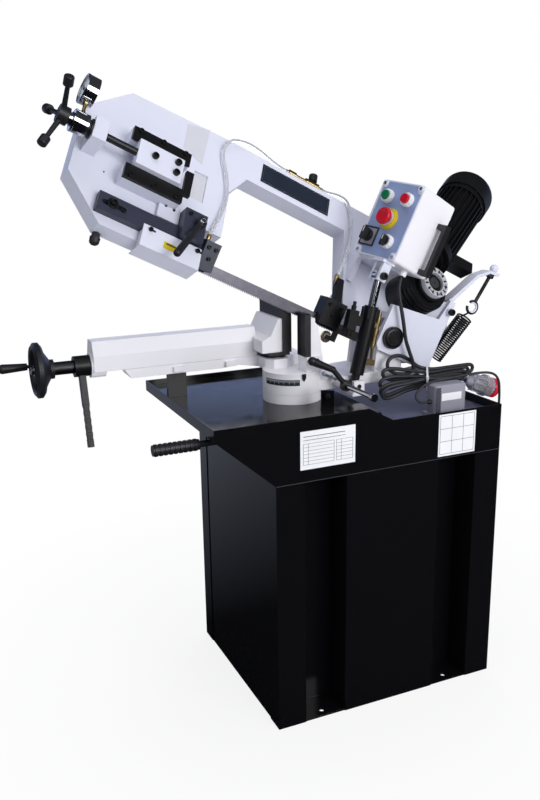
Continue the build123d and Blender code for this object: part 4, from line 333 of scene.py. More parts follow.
def brick(shape, x, y, z, round_mm=0.0, place=WORLD, segments=2):
    """Adds a box between three pairs of limits with rounded edges."""
    size = Matrix.Diagonal((x[1] - x[0], y[1] - y[0], z[1] - z[0], 1))
    spot = Matrix.Translation((sum(x) / 2, sum(y) / 2, sum(z) / 2))
    verts = bmesh.ops.create_cube(shape, size=1.0, matrix=spot @ size)["verts"]
    if round_mm:
        edges = list({e for v in verts for e in v.link_edges})
        made = bmesh.ops.bevel(
            shape, geom=edges, offset=round_mm, affect="EDGES", segments=segments, profile=0.5, material=-1)
        verts = grow(made["verts"])
    bmesh.ops.transform(shape, matrix=place, verts=verts)


def plate(shape, outline, low, high, place=WORLD):
    """Adds a flat plate of any outline between two heights."""
    verts = [shape.verts.new((x, y, low)) for x, y in outline]
    face = shape.faces.new(verts)
    made = bmesh.ops.extrude_face_region(shape, geom=[face])["geom"]
    raised = [item for item in made if isinstance(item, bmesh.types.BMVert)]
    bmesh.ops.translate(shape, vec=(0, 0, high - low), verts=raised)
    faces = list({face for vert in verts + raised for face in vert.link_faces})
    bmesh.ops.recalc_face_normals(shape, faces=faces)
    bmesh.ops.transform(shape, matrix=place, verts=verts + raised)


def at(frame_of, x, y, z=0.0):
    """A local frame shifted to a point of its own."""
    return frame_of @ Matrix.Translation((x, y, z))


def rotated(degrees, axis):
    """Turn about one of the local axes."""
    return Matrix.Rotation(math.radians(degrees), 4, axis)


def share_of_turn(step, count):
    """Turn about local Z to one of several places spaced evenly round it."""
    return Matrix.Rotation(math.tau * step / count, 4, "Z")


def facing(point, way):
    """Frame at a point whose Z axis looks along a direction."""
    turn = Vector(way).normalized().to_track_quat("Z", "Y").to_matrix().to_4x4()
    return Matrix.Translation(point) @ turn


def spun(name, profile, place, steps, finish, body):
    """One turned piece with its finish, riding on a body."""
    shape = bmesh.new()
    turned(shape, profile, place, steps)
    keep(name, shape, finish, body)


def slab(name, x, y, z, place, finish, body):
    """One flat sharp-edged piece with its finish, riding on a body."""
    shape = bmesh.new()
    brick(shape, x, y, z, 0.0, place)
    keep(name, shape, finish, body, smooth=False)


def cap_screw(shape, place, radius):
    """Adds a socket cap screw's head standing on the local XY plane."""
    height = radius * 1.1
    turned(shape, [
        (0, height * 0.45), (radius * 0.5, height * 0.45), (radius * 0.55, height), (radius * 0.85, height),
        (radius, height * 0.85), (radius, 0), (0, 0)], place, 16)


def cap_screws(shape, frame_of, height, radius, spots):
    """Adds socket cap screws' heads at one height of a local frame."""
    for x, y in spots:
        cap_screw(shape, at(frame_of, x, y, height), radius)


def route(name, points, diameter, finish, place=WORLD):
    """Smooth tube as a mesh on a NURBS line through control points, and the points of that line."""
    data = bpy.data.curves.new(name, "CURVE")
    data.dimensions = "3D"
    data.resolution_u = 6
    line = data.splines.new("NURBS")
    line.points.add(len(points) - 1)
    for spot, point in zip(line.points, points):
        spot.co = (*(METRES @ place @ Vector(point)), 1.0)
    line.order_u = 3
    line.use_endpoint_u = True
    carrier = bpy.data.objects.new(name + "_line", data)
    bpy.context.scene.collection.objects.link(carrier)
    depsgraph = bpy.context.evaluated_depsgraph_get()
    bare = bpy.data.meshes.new_from_object(carrier.evaluated_get(depsgraph))
    path = [tuple(v.co) for v in bare.vertices]
    data.bevel_depth = diameter / 2
    data.bevel_resolution = 4
    data.use_fill_caps = True
    depsgraph = bpy.context.evaluated_depsgraph_get()
    mesh = bpy.data.meshes.new_from_object(carrier.evaluated_get(depsgraph))
    bpy.data.objects.remove(carrier)
    bpy.data.meshes.remove(bare)
    mesh.name = name
    shape = bmesh.new()
    shape.from_mesh(mesh)
    bmesh.ops.remove_doubles(shape, verts=shape.verts, dist=1e-7)
    bmesh.ops.recalc_face_normals(shape, faces=shape.faces)
    for face in shape.faces:
        face.smooth = len(face.verts) == 4
    shape.to_mesh(mesh)
    shape.free()
    mesh.materials.clear()
    mesh.materials.append(FINISH[finish])
    piece = bpy.data.objects.new(name, mesh)
    bpy.context.scene.collection.objects.link(piece)
    return piece, path


# Mains cord below the box, in millimetres: a curl, the hank's turns and the run to the plug
CURL = (
    (104, -109.5, 918), (111, -110, 871), (124, -110.5, 838), (135, -110.5, 812), (137, -107, 791),
    (116, -105, 785), (90, -104, 788), (66, -103, 802), (66, -102, 822), (84, -101, 834), (110, -100, 831),
    (136, -99, 815), (155, -101, 798),
)
# Each turn's left and right ends and their heights, from the innermost turn out
TURNS = ((44, 314, 797, 781), (31, 293, 774, 778), (27, 280, 758, 772), (26, 258, 752, 769))
# One turn from the tie round to it again: share of the way to the right end, and rise over its middle line
TURN_SHAPE = (
    (0.53, 7), (0.72, 9), (0.86, 10), (0.976, 10), (1.0, 4), (1.0, -4), (0.976, -10), (0.81, -10), (0.66, -9),
    (0.52, -8), (0.35, -9), (0.2, -14), (0.09, -17), (0.01, -8), (0.01, 8), (0.1, 14), (0.28, 10),
)
TURN_STEP = 10.0
FIRST_TURN_Y = -109.0
PLUG_RUN = ((137, -151, 779), (176, -157, 779), (206, -168, 780))


def hank_turns():
    """Points of the tied turns, each shifted along Y from the one before on its way round the left end."""
    points = []
    shift_from = 11
    shift_over = len(TURN_SHAPE) - shift_from
    for number, (left, right, left_z, right_z) in enumerate(TURNS):
        for index, (share, rise) in enumerate(TURN_SHAPE):
            y = FIRST_TURN_Y - TURN_STEP * (number + max(0, index - shift_from) / shift_over)
            middle = right_z + (left_z - right_z) * (1 - share) ** 3
            points.append((left + (right - left) * share, y, middle + rise))
    return points


CORD_EXIT = (-48.0, 173.9, 62.0)
STRAIGHT_END = 22.0
TIE_CENTRE = (163.0, -130.0, 774.5)
PLUG_ENTRY = Vector((247.0, -172.0, 770.0))
PLUG_WAY = Vector((88.0, 0.0, -31.0)).normalized()
PUMP_LEAD = (
    (131.5, -195, 735), (118, -195, 735), (101, -193, 736), (92, -188, 747), (100, -183, 762),
    (132, -182, 780), (182, -190, 785), (236, -208, 795), (284, -222, 797), (303, -228, 780),
    (307, -228, 742), (307, -228, 712), (305, -228, 701), (300.2, -228, 700),
)


class SAW_OT_mains_cord(bpy.types.Operator):
    """Mains cord from the control box, through the tied hank, to the plug"""
    bl_idname = "saw.mains_cord"
    bl_label = "Mains Cord"

    def execute(self, context):
        sizes = context.scene.saw_sizes
        top = CUT @ Vector(CORD_EXIT)
        low = top - Vector((math.sin(LIFT), 0, math.cos(LIFT))) * STRAIGHT_END
        points = [
            top, low, (low.x + 1, low.y - 9, low.z - 40), *CURL, *hank_turns(), *PLUG_RUN,
            PLUG_ENTRY - PLUG_WAY * STRAIGHT_END, PLUG_ENTRY]
        cord, path = route("mains_cord", points, sizes.cord, "cord_rubber")
        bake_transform(cord)
        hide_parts("mains_lead", "mains_hank")
        lead, path = route("pump_lead", PUMP_LEAD, sizes.lead, "cord_rubber")
        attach(lead, "base")
        ends = bmesh.new()
        turned(ends, [(3.2, 9), (4.6, 8), (5.6, 6), (5.6, 0)], facing((131, -195, 735), (-1, 0, 0)), 24)
        turned(ends, [(3.2, 9), (5.4, 8), (6.6, 6), (6.6, 0)], facing((300, -228, 700), (1, 0, 0)), 24)
        glands = keep("lead_glands", ends, "black_plastic", "base")
        return {"FINISHED"}


HOSE_LEFT = (
    (-336.3, 344, 12), (-353, 344, 12), (-384, 348, 14), (-424, 356, 18), (-466, 349, 26), (-506, 330, 29),
    (-520, 288, 29), (-496, 234, 29), (-484, 184, 29), (-492, 128, 29), (-506, 82, 29), (-510, 60, 29),
)
HOSE_RIGHT = (
    (-225.7, 344, 12), (-209, 344, 12), (-186, 348, 18), (-160, 341, 29), (-141, 308, 30), (-134, 260, 30),
    (-138, 208, 30), (-148, 158, 30), (-160, 114, 30),
)


class SAW_OT_hoses(bpy.types.Operator):
    """Clear coolant hoses with their brass ends"""
    bl_idname = "saw.hoses"
    bl_label = "Coolant Hoses"

    def execute(self, context):
        size = context.scene.saw_sizes.hose
        left, left_path = route("hose_left", HOSE_LEFT, size, "clear_hose", BOW)
        right, right_path = route("hose_right", HOSE_RIGHT, size, "clear_hose", BOW)
        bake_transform(left)
        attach(right, "bow")
        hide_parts("coolant_hoses")
        for hose, path, body in ((left, left_path, "guide_bar"), (right, right_path, "bow")):
            end = Vector(path[-1]) / MM
            shape = bmesh.new()
            turned(shape, [
                (0, -6), (5.4, -6), (5.4, 4), (4.0, 6), (4.0, 15), (2.6, 16), (2.6, 20), (1.6, 20), (1.6, 12),
                (0, 12)], facing(end, end - Vector(path[-2]) / MM), 24)
            tip = keep(hose.name + "_tip", shape, "brass_fitting", body)
        return {"FINISHED"}


# Counterbalance spring, in millimetres: its line, its anchor on the turret and the eye that it hooks into
SPRING_Y = -64.0
SPRING_LOW = Vector((226.0, SPRING_Y, 806.9))
SPRING_HIGH = Vector((317.2, SPRING_Y, 903.0))
SPRING_FOOT = Vector((204.0, SPRING_Y, 787.0))
SPRING_EYE = (205.0, 190.0, 29.0)
SPRING_RADIUS = 19.5
STEPS_PER_COIL = 12


class SAW_OT_spring(bpy.types.Operator):
    """Counterbalance spring with its coils and end hooks"""
    bl_idname = "saw.spring"
    bl_label = "Counterbalance Spring"

    def execute(self, context):
        sizes = context.scene.saw_sizes
        run = SPRING_HIGH - SPRING_LOW
        axis = run.normalized()
        side = Vector((0, 1, 0))
        other = axis.cross(side)
        eye = CUT @ Vector(SPRING_EYE)
        reach = (eye - SPRING_HIGH).normalized()
        points = [SPRING_FOOT + axis * 10.2, SPRING_FOOT + axis * 15]
        steps = sizes.coils * STEPS_PER_COIL
        for step in range(steps + 1):
            turn = math.tau * step / STEPS_PER_COIL
            out = side * math.cos(turn) + other * math.sin(turn)
            points.append(SPRING_LOW + axis * (run.length * step / steps) + out * SPRING_RADIUS)
        points += [eye - reach * 21, eye - reach * 16.3]
        spring, path = route("counterbalance_spring", points, sizes.wire, "spring_steel")
        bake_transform(spring)
        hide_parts("counter_spring")
        return {"FINISHED"}


# Views along the screw and along the bow's height, as turns of the bow's frame
END_ON = Matrix(((0, 0, -1, 0), (0, 1, 0, 0), (1, 0, 0, 0), (0, 0, 0, 1)))
UPWARD = rotated(-90, "X")
WHEEL_V = 148.75
STUD_N = 68.0
GAUGE = (-864.0, WHEEL_V + 84.0, STUD_N)
GAUGE_MARKS = 31
FIRST_MARK = -225
MARK_STEP = 9
NEEDLE = 118


class SAW_OT_gauge(bpy.types.Operator):
    """Dial of the tension gauge with its marks, needle, glass rim and brass stem"""
    bl_idname = "saw.gauge"
    bl_label = "Tension Gauge"

    def execute(self, context):
        dial = at(BOW, *GAUGE) @ END_ON
        spun("gauge_face", [(0, 0.8), (27.6, 0.8), (28.2, 0.2), (0, 0.2)], dial, 48, "dial_white", "bow")
        shape = bmesh.new()
        for mark in range(GAUGE_MARKS):
            turn = rotated(FIRST_MARK + MARK_STEP * mark, "Z")
            long = 18.0 if mark % 5 == 0 else 21.5
            brick(shape, (long, 25.0), (-0.45, 0.45), (0.7, 1.1), 0.0, dial @ turn)
        plate(shape, [(-7, -1.3), (-7, 1.3), (20, 0.4), (20, -0.4)], 1.4, 1.9, dial @ rotated(NEEDLE, "Z"))
        turned(shape, [(0, 3.0), (2.6, 3.0), (3.0, 2.4), (3.0, 0.8)], dial, 20)
        keep("gauge_marks", shape, "ruled_ink", "bow")
        spun("gauge_rim", [
            (28.2, 2.2), (28.8, 3.6), (30.4, 4.6), (31.8, 4.4), (32.5, 3.2), (32.5, 0.0)],
            dial, 56, "chrome_plate", "bow")
        shape = bmesh.new()
        stem = at(BOW, -854.0, WHEEL_V, STUD_N) @ UPWARD
        turned(shape, [
            (3.6, 23), (6.4, 23.6), (6.4, 29), (3.8, 30), (3.8, 47), (5.8, 47.6), (5.8, 52.5), (3.6, 53)],
            stem, 6)
        turned(shape, [(4.0, 29), (4.0, 48)], stem, 28)
        keep("gauge_stem", shape, "brass_fitting", "bow")
        collar = at(BOW, -829.4, WHEEL_V, STUD_N) @ END_ON
        spun("screw_collar", [
            (16.2, 0), (20.5, 0), (21.3, 1), (21.3, 4), (17.5, 5), (17.5, 10), (16.2, 10.2)],
            collar, 40, "black_plastic", "bow")
        shape = bmesh.new()
        knurl = at(BOW, -872.3, WHEEL_V, STUD_N) @ END_ON
        turned(shape, [
            (13.1, 0), (15.5, 0.4), (15.5, 3.2), (13.4, 3.6), (13.4, 7.4), (13.1, 7.6)], knurl, 40)
        cell = at(BOW, -840.2, WHEEL_V, STUD_N) @ END_ON
        turned(shape, [
            (22, 0), (24.4, 0.8), (24.4, 3), (23.7, 3.6), (23.7, 27), (24.4, 27.6), (24.4, 31), (22, 32)],
            cell, 48)
        keep("load_cell", shape, "chrome_plate", "bow")
        return {"FINISHED"}


PANEL_Z = 61.5
CORNER_X = 58.0
CORNER_Y = 84.5
BOSS_HEIGHT = 2.4
PANEL_SPOTS = {
    "start": (-30, 53), "stop": (35, 52), "emergency": (0, 1), "main": (-40, -48), "selector": (27, -53),
}


def on_panel(name):
    """Place of one operator on the control panel's front."""
    return at(BOX, *PANEL_SPOTS[name], PANEL_Z)


class SAW_OT_panel(bpy.types.Operator):
    """Overlay, operator sleeves, main switch plate and corner bosses of the control panel"""
    bl_idname = "saw.panel"
    bl_label = "Control Panel"

    def execute(self, context):
        shape = bmesh.new()
        plate(shape, [
            (-44, -90), (47, -90), (50, -74), (64, -71), (64, 71), (52, 74), (49, 90), (-46, 90), (-49, 76),
            (-60, 73), (-60, -73), (-48, -76)], PANEL_Z, PANEL_Z + 0.6, BOX)
        keep("panel_overlay", shape, "panel_grey", "bow", smooth=False)
        shape = bmesh.new()
        for name in ("start", "stop", "selector"):
            turned(shape, [
                (11.5, 12.5), (14.6, 12.5), (15.5, 11.8), (15.5, 6.0), (16.6, 5.4), (16.6, 0.6), (17.4, 0.0)],
                on_panel(name), 40)
            for rib in range(12):
                turn = share_of_turn(rib, 12)
                brick(shape, (15.3, 16.4), (-1.2, 1.2), (0.8, 11.4), 0.3, on_panel(name) @ turn, 1)
        keep("operator_sleeves", shape, "bezel_white", "bow")
        stop = on_panel("emergency")
        spun("emergency_ring", [
            (18.4, 8.2), (21.8, 8.2), (22.6, 7.6), (22.6, 3.0), (25.0, 2.6), (26.0, 1.8), (26.0, 0.2)],
            stop, 48, "yellow_plastic", "bow")
        spun("emergency_sleeve", [(15.2, 9.0), (17.8, 9.0), (18.4, 8.4), (18.4, 2.6)],
             stop, 40, "bezel_white", "bow")
        spun("emergency_cap", [(0, 28.4), (14.0, 28.2), (15.6, 28.6), (17.0, 28.2)],
             stop, 48, "red_button", "emergency_stop")
        self.dress_switches()
        shape = bmesh.new()
        screws = bmesh.new()
        for x in (-CORNER_X, CORNER_X):
            for y in (-CORNER_Y, CORNER_Y):
                boss = at(BOX, x, y, PANEL_Z)
                head = at(boss, 0, 0, BOSS_HEIGHT)
                turned(shape, [(0, BOSS_HEIGHT), (7.0, BOSS_HEIGHT), (8.2, 1.6), (8.6, 0.0)], boss, 28)
                turned(screws, [(0, 1.0), (3.6, 0.9), (4.4, 0.0)], head, 20)
                brick(screws, (-3.4, 3.4), (-0.5, 0.5), (0.9, 1.3), 0.0, head)
        keep("corner_bosses", shape, "white_paint", "bow")
        keep("corner_screws", screws, "bright_steel", "bow")
        return {"FINISHED"}

    def dress_switches(self):
        """Main switch plate in its frame, and a pale line on both grips."""
        switch = on_panel("main")
        shape = bmesh.new()
        brick(shape, (-21, 21), (-21, 21), (0.6, 2.4), 0.5, switch, 1)
        keep("switch_plate", shape, "grey_plastic", "bow")
        shape = bmesh.new()
        for low, high in ((-24, -20), (20, 24)):
            brick(shape, (low, high), (-24, 24), (0.0, 3.4), 0.6, switch, 1)
            brick(shape, (-20, 20), (low, high), (0.0, 3.4), 0.6, switch, 1)
        keep("switch_frame", shape, "name_plate", "bow")
        shape = bmesh.new()
        brick(shape, (-0.9, 0.9), (2, 14), (26.2, 26.7), 0.0, switch)
        keep("switch_line", shape, "label_white", "main_switch")
        shape = bmesh.new()
        brick(shape, (-0.8, 0.8), (0, 11), (25.0, 25.5), 0.0, on_panel("selector"))
        keep("selector_line", shape, "label_white", "selector_switch")


FRONT_Y = -247.0
PUMP_FRONT_Y = -215.0
WELL_FLOOR_Z = 700.0
HEM_HIGHLIGHT_Z = 607.6
GEAR_END = (55.0, WHEEL_V, 145.0)
# Heights over the skirt's face of the films and of the lines ruled on them
FILM = (0.0, 0.6)
RULE = (0.5, 0.8)


class SAW_OT_labels(bpy.types.Operator):
    """Bare ruled plates on the tray's skirt, spine, guard, head and pump"""
    bl_idname = "saw.labels"
    bl_label = "Plates"

    def execute(self, context):
        front = at(WORLD, 0, FRONT_Y) @ rotated(90, "X")
        shape = bmesh.new()
        brick(shape, (-241, -104), (637, 725), FILM, 0.0, front)
        brick(shape, (120, 225), (613, 716), FILM, 0.0, front)
        keep("skirt_plates", shape, "label_white", "base", smooth=False)
        shape = bmesh.new()
        for row in range(7):
            for columns in ((-234, -158), (-152, -111)):
                brick(shape, columns, (648 + 8 * row, 648.6 + 8 * row), RULE, 0.0, front)
        for x in (-234, -222, -158, -152, -140, -111):
            brick(shape, (x, x + 0.7), (648, 696.6), RULE, 0.0, front)
        for heading in ((704, 705), (712, 713.4)):
            brick(shape, (-234, -130), heading, RULE, 0.0, front)
        for x in (124, 157, 189, 220):
            brick(shape, (x, x + 0.8), (618, 711.8), RULE, 0.0, front)
        for z in (618, 649, 680, 711):
            brick(shape, (124, 220.8), (z, z + 0.8), RULE, 0.0, front)
        keep("plate_rules", shape, "ruled_ink", "base", smooth=False)
        # Grey line along the skirt's lower hem: painted highlight of the hem's rounded edge on the black
        # enamel
        slab("skirt_hem_highlight", (-299, 299), (HEM_HIGHLIGHT_Z, HEM_HIGHLIGHT_Z + 1), (0.0, 0.3), front, "dark_grey_plastic_and_hem_highlight", "base")
        self.dress_bow()
        pump = at(WORLD, 0, PUMP_FRONT_Y) @ rotated(90, "X")
        slab("pump_plate", (148, 204), (739, 757), (0.0, 0.5), pump, "label_white", "base")
        shape = bmesh.new()
        brick(shape, (133, 145), (707, 772), (0.0, 0.7), 0.0, pump)
        for low in range(712, 768, 7):
            brick(shape, (132, 146), (low, low + 3), (0.0, 1.4), 0.4, pump, 1)
        keep("pump_band", shape, "dark_grey_plastic_and_hem_highlight", "base")
        # Lavender-grey sheet over the well's floor: painted reflection
        slab("well_reflection_sheet", (-36, 297.2), (-244.2, 244.2), (WELL_FLOOR_Z, WELL_FLOOR_Z + 0.4), WORLD,
             "well_reflection_paint", "base")
        return {"FINISHED"}

    def dress_bow(self):
        """Dark plate on the spine, pale plate beside the slide and a strip on the guard."""
        shape = bmesh.new()
        brick(shape, (-405, -205), (272, 322), (22.0, 23.2), 0.5, BOW, 1)
        keep("spine_plate", shape, "name_plate", "bow")
        shape = bmesh.new()
        for v in (275.5, 318):
            brick(shape, (-401, -209), (v, v + 0.9), (23.1, 23.5), 0.0, BOW)
        for u in (-401, -209.9):
            brick(shape, (u, u + 0.9), (275.5, 318.9), (23.1, 23.5), 0.0, BOW)
        keep("spine_rules", shape, "bright_steel", "bow", smooth=False)
        shape = bmesh.new()
        plate(shape, [(-610, 253), (-558, 236), (-555, 334), (-611, 320)], 22.0, 22.4, BOW)
        keep("head_plate", shape, "pale_film_and_pocket_shade", "bow", smooth=False)
        # Greyer film on the floor of the head's pocket: painted shade of a recess deeper than the bow's wall
        # allows
        slab("pocket_painted_shade", (-571.5, -538.5), (140.5, 211.5), (19.0, 19.2), BOW, "pale_film_and_pocket_shade", "bow")
        self.dress_gear()
        slab("guard_strip", (-614, -574), (-22, -6), (42.3, 42.8), BOW, "yellow_plastic", "guide_bar")
        slab("guard_rule", (-609, -577), (-12, -8.5), (42.7, 43.0), BOW, "ruled_ink", "guide_bar")

    def dress_gear(self):
        """Dark slots and centre of the gearbox's bright end ring."""
        ring = at(BOW, *GEAR_END)
        shape = bmesh.new()
        for slot in range(14):
            turn = share_of_turn(slot, 14)
            brick(shape, (27, 36.5), (-2.2, 2.2), (-0.2, 0.3), 0.0, ring @ turn)
        turned(shape, [(0, -5.0), (4, -5.0), (4.6, -6.0), (20, -6.0), (23.6, -7.6)], ring, 44)
        keep("gear_slots", shape, "black_casting", "bow")


HINGE_PIN = (85.1, -99.0, 876.6)
RING_RADIUS = 15.5
RING_WIRE = 3.5


class SAW_OT_screws(bpy.types.Operator):
    """Socket screws, washers, caps and the rubber foot"""
    bl_idname = "saw.screws"
    bl_label = "Screws"

    def execute(self, context):
        slide = bmesh.new()
        for u in (-726, -672, -618):
            cap_screws(slide, BOW, 65.0, 5.5, ((u, WHEEL_V + 57), (u, WHEEL_V - 57)))
        cap_screws(slide, BOW, 60.0, 4.5, ((-575, 74), (-548, 74)))
        cap_screws(slide, BOW, 32.0, 2.8, ((-624, 84), (-604, 82)))
        cap_screws(slide, CUT, 24.0, 4.5, ((-176, 46), (-143, 46), (-160, 24)))
        cap_screws(slide, CUT, 84.0, 9.0, ((-110, 151),))
        cap_screws(slide, CUT, 62.0, 8.5, ((126, 150),))
        cap_screws(slide, BOW, 22.0, 1.6, ((-788, 212), (-770, 100)))
        keep("bow_screws", slide, "black_casting", "bow")
        slider = bmesh.new()
        cap_screws(slider, BOW, 78.0, 7.5, ((-688, 153), (-635, 165), (-635, 139)))
        keep("slider_screws", slider, "black_casting", "tension_slider")
        bar = bmesh.new()
        turned(bar, [(0, 2.2), (11.5, 2.2), (12.2, 1.4), (12.2, 0.0)], at(BOW, -739.6, 26.3, 40.3), 36)
        cap_screw(bar, at(BOW, -739.6, 26.3, 42.5), 7.5)
        cap_screw(bar, at(BOW, -715, 21, 40.3), 5.0)
        for u, v in ((-649, 5.7), (-536, 5.4)):
            cap_screw(bar, at(BOW, u, v, 42.3), 5.0)
            brick(bar, (u, u + 12), (v - 2.4, v + 2.4), (42.3, 42.7), 0.0, BOW)
        cap_screws(bar, CUT, 38.0, 4.5, ((-516, 44), (-498, 44), (-507, 20)))
        keep("bar_screws", bar, "black_casting", "guide_bar")
        spun("lever_screw", [(0, 6.0), (4.8, 5.6), (6.6, 4.0), (7.4, 0.0)],
             at(BOW, -552, 56, 78.0), 28, "chrome_plate", "guide_lever")
        spun("rubber_foot", [(0, -46), (8, -46), (10.5, -43), (11.5, -32), (9.0, -28), (9.0, -16.0)],
             at(BOW, -742, 0, -18) @ UPWARD, 28, "cord_rubber", "bow")
        self.dress_hinge()
        return {"FINISHED"}

    def dress_hinge(self):
        """Ringed cap on the hinge pin, and the black eyebolt on the spring arm."""
        pin = at(WORLD, *HINGE_PIN) @ rotated(90, "X")
        spun("hinge_cap", [
            (0, 1.2), (9, 1.2), (9.6, 2.4), (12, 2.4), (12.6, 1.0), (16, 1.0), (16.6, 3.4), (22, 3.4),
            (23.6, 2.4), (24, 0.0)], pin, 56, "black_casting", "bow")
        shape = bmesh.new()
        eye = at(CUT, *SPRING_EYE) @ rotated(187, "Z")
        ring = [
            (RING_RADIUS + RING_WIRE * math.cos(math.tau * k / 14), RING_WIRE * math.sin(math.tau * k / 14))
            for k in range(15)]
        turned(shape, ring, eye, 44, math.radians(316))
        bmesh.ops.holes_fill(shape, edges=shape.edges, sides=0)
        low = CUT @ Vector((206.7, 202.9, 29))
        high = CUT @ Vector((218.5, 291.1, 29))
        run = (high - low).length
        shank = facing(low, high - low)
        turned(shape, [(0, 0), (4.5, 0), (4.5, run), (0, run)], shank, 24)
        for rise in range(24, int(run) - 4, 3):
            turned(shape, [(4.4, rise), (5.0, rise + 0.9), (4.4, rise + 1.8)], shank, 24)
        turned(shape, [(0, run - 14), (10, run - 14), (10, run - 5), (0, run - 5)], shank, 6)
        keep("spring_eyebolt", shape, "black_casting", "bow")


TURRET = Matrix.Translation((-158.0, -35.0, 0.0))
# Angle scale round the turret, in millimetres and degrees
SCALE_RADIUS = 71.7
SCALE_LOW = 789
SCALE_HIGH = 803
SCALE_START = -173
SCALE_SPAN = 72
POINTER_TURN = -93
JAW_FACE_X = -158.5


class SAW_OT_vise(bpy.types.Operator):
    """Angle scale and pointer on the turret, jaw screws, deck strip and wheel cap"""
    bl_idname = "saw.vise"
    bl_label = "Vise Trim"

    def execute(self, context):
        shape = bmesh.new()
        turned(
            shape, [
                (SCALE_RADIUS - 0.5, SCALE_LOW), (SCALE_RADIUS, SCALE_LOW), (SCALE_RADIUS, SCALE_HIGH),
                (SCALE_RADIUS - 0.5, SCALE_HIGH)],
            TURRET @ rotated(SCALE_START, "Z"), 40, math.radians(SCALE_SPAN))
        keep("angle_scale", shape, "name_plate", "turret")
        shape = bmesh.new()
        for mark in range(0, SCALE_SPAN - 3, 2):
            turn = TURRET @ rotated(SCALE_START + 2 + mark, "Z")
            foot = SCALE_HIGH - (6 if mark % 10 else 10)
            across = (SCALE_RADIUS - 0.2, SCALE_RADIUS + 0.2)
            brick(shape, across, (-0.3, 0.3), (foot, SCALE_HIGH - 1), 0.0, turn)
        keep("scale_marks", shape, "label_white", "turret", smooth=False)
        shape = bmesh.new()
        pointer = TURRET @ rotated(POINTER_TURN, "Z") @ rotated(90, "Y")
        plate(shape, [(-816, -5), (-816, 5), (-806, 5), (-798, 0), (-806, -5)], 72.0, 73.4, pointer)
        cap_screw(shape, at(pointer, -811.5, 0, 73.4), 3.0)
        keep("scale_pointer", shape, "black_casting", "base")
        shape = bmesh.new()
        brick(shape, (-87, -75), (-112, 15), (793.5, 797.5), 0.6)
        cap_screws(shape, WORLD, 797.5, 3.6, ((-81, -92), (-81, -52), (-81, -12)))
        keep("deck_strip", shape, "bright_steel", "turret")
        jaw = bmesh.new()
        face = rotated(90, "Y")
        for y in (6, 88):
            cap_screw(jaw, at(WORLD, JAW_FACE_X, y, 913.1) @ face, 5.6)
        keep("jaw_screws", jaw, "black_casting", "vise_jaw")
        fixed = bmesh.new()
        along = rotated(90, "X")
        for x, z in ((-140.5, 842), (-120.5, 842)):
            cap_screw(fixed, at(WORLD, x, -92, z) @ along, 4.6)
        post = at(WORLD, -137, -176) @ rotated(-24, "Z")
        turned(fixed, [(0, 6), (5.0, 6), (6.4, 4.6), (6.4, 0)], at(post, 0, -10, 779) @ along, 6)
        keep("fixed_screws", fixed, "black_casting", "base")
        spun("wheel_nut", [(0, 9), (6, 9), (9, 7), (9, 2), (12, 1.4), (12, 0)],
             at(WORLD, -742, 72, 850.1) @ rotated(-90, "Y"), 32, "bright_steel", "vise_screw")
        return {"FINISHED"}


class SAW_OT_plug(bpy.types.Operator):
    """Plug with its gland, clear shroud and coloured socket, and the tie round the hank"""
    bl_idname = "saw.plug"
    bl_label = "Plug"

    def execute(self, context):
        axis = facing(PLUG_ENTRY, PLUG_WAY)
        shape = bmesh.new()
        turned(shape, [
            (12, 15), (17.5, 16), (18.6, 22), (19.4, 34), (21, 44), (22, 52), (26.4, 53), (27, 55), (27, 62),
            (26.2, 63.6), (24.2, 64), (24.2, 76), (23.4, 77), (21.0, 77), (21.0, 64), (19.5, 54), (17, 30),
            (12, 18)], axis, 48)
        for rib in range(10):
            turn = share_of_turn(rib, 10)
            brick(shape, (18.4, 22.6), (-1.2, 1.2), (20, 50), 0.5, axis @ turn, 1)
        brick(shape, (24, 31), (-8, 8), (56, 66), 1.2, axis)
        keep("plug_shell", shape, "clear_plug", "turret")
        shape = bmesh.new()
        turned(shape, [
            (0, 56), (18.6, 56), (20.5, 64), (20.5, 77.5), (23.8, 77.8), (24.4, 79), (24.4, 90.5), (23.4, 92),
            (20.5, 92), (19.5, 91), (19.5, 80), (0, 80)], axis, 48)
        for pin in range(5):
            turn = share_of_turn(pin, 5)
            turned(shape, [(0, 90), (2.4, 90), (2.4, 80)], axis @ turn @ Matrix.Translation((10, 0, 0)), 14)
        keep("plug_insert", shape, "red_button", "turret")
        spun("plug_gland", [
            (5.0, 0), (9, 1), (9.6, 5), (11, 6), (11, 9), (12, 10), (12, 13), (14, 14), (14, 19), (0, 19)],
            axis, 36, "grey_plastic", "turret")
        tie = at(WORLD, *TIE_CENTRE) @ rotated(-32.7, "Z") @ rotated(10, "X")
        shape = bmesh.new()
        long = 34.0
        tall = 18.0
        for low, high in ((-tall, -tall + 1), (tall - 1, tall)):
            brick(shape, (-2.5, 2.5), (-long, long), (low, high), 0.4, tie, 1)
        for low, high in ((-long, -long + 1), (long - 1, long)):
            brick(shape, (-2.5, 2.5), (low, high), (-tall, tall), 0.4, tie, 1)
        brick(shape, (-3.4, 3.4), (-long - 3.4, -long + 2), (tall - 7, tall + 1.5), 0.8, tie)
        band = keep("hank_tie", shape, "bezel_white", "turret")
        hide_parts("mains_plug")
        return {"FINISHED"}


BRUSH = (-143.5, -28.5)
TUFT_ROWS = 5
TUFTS = 40


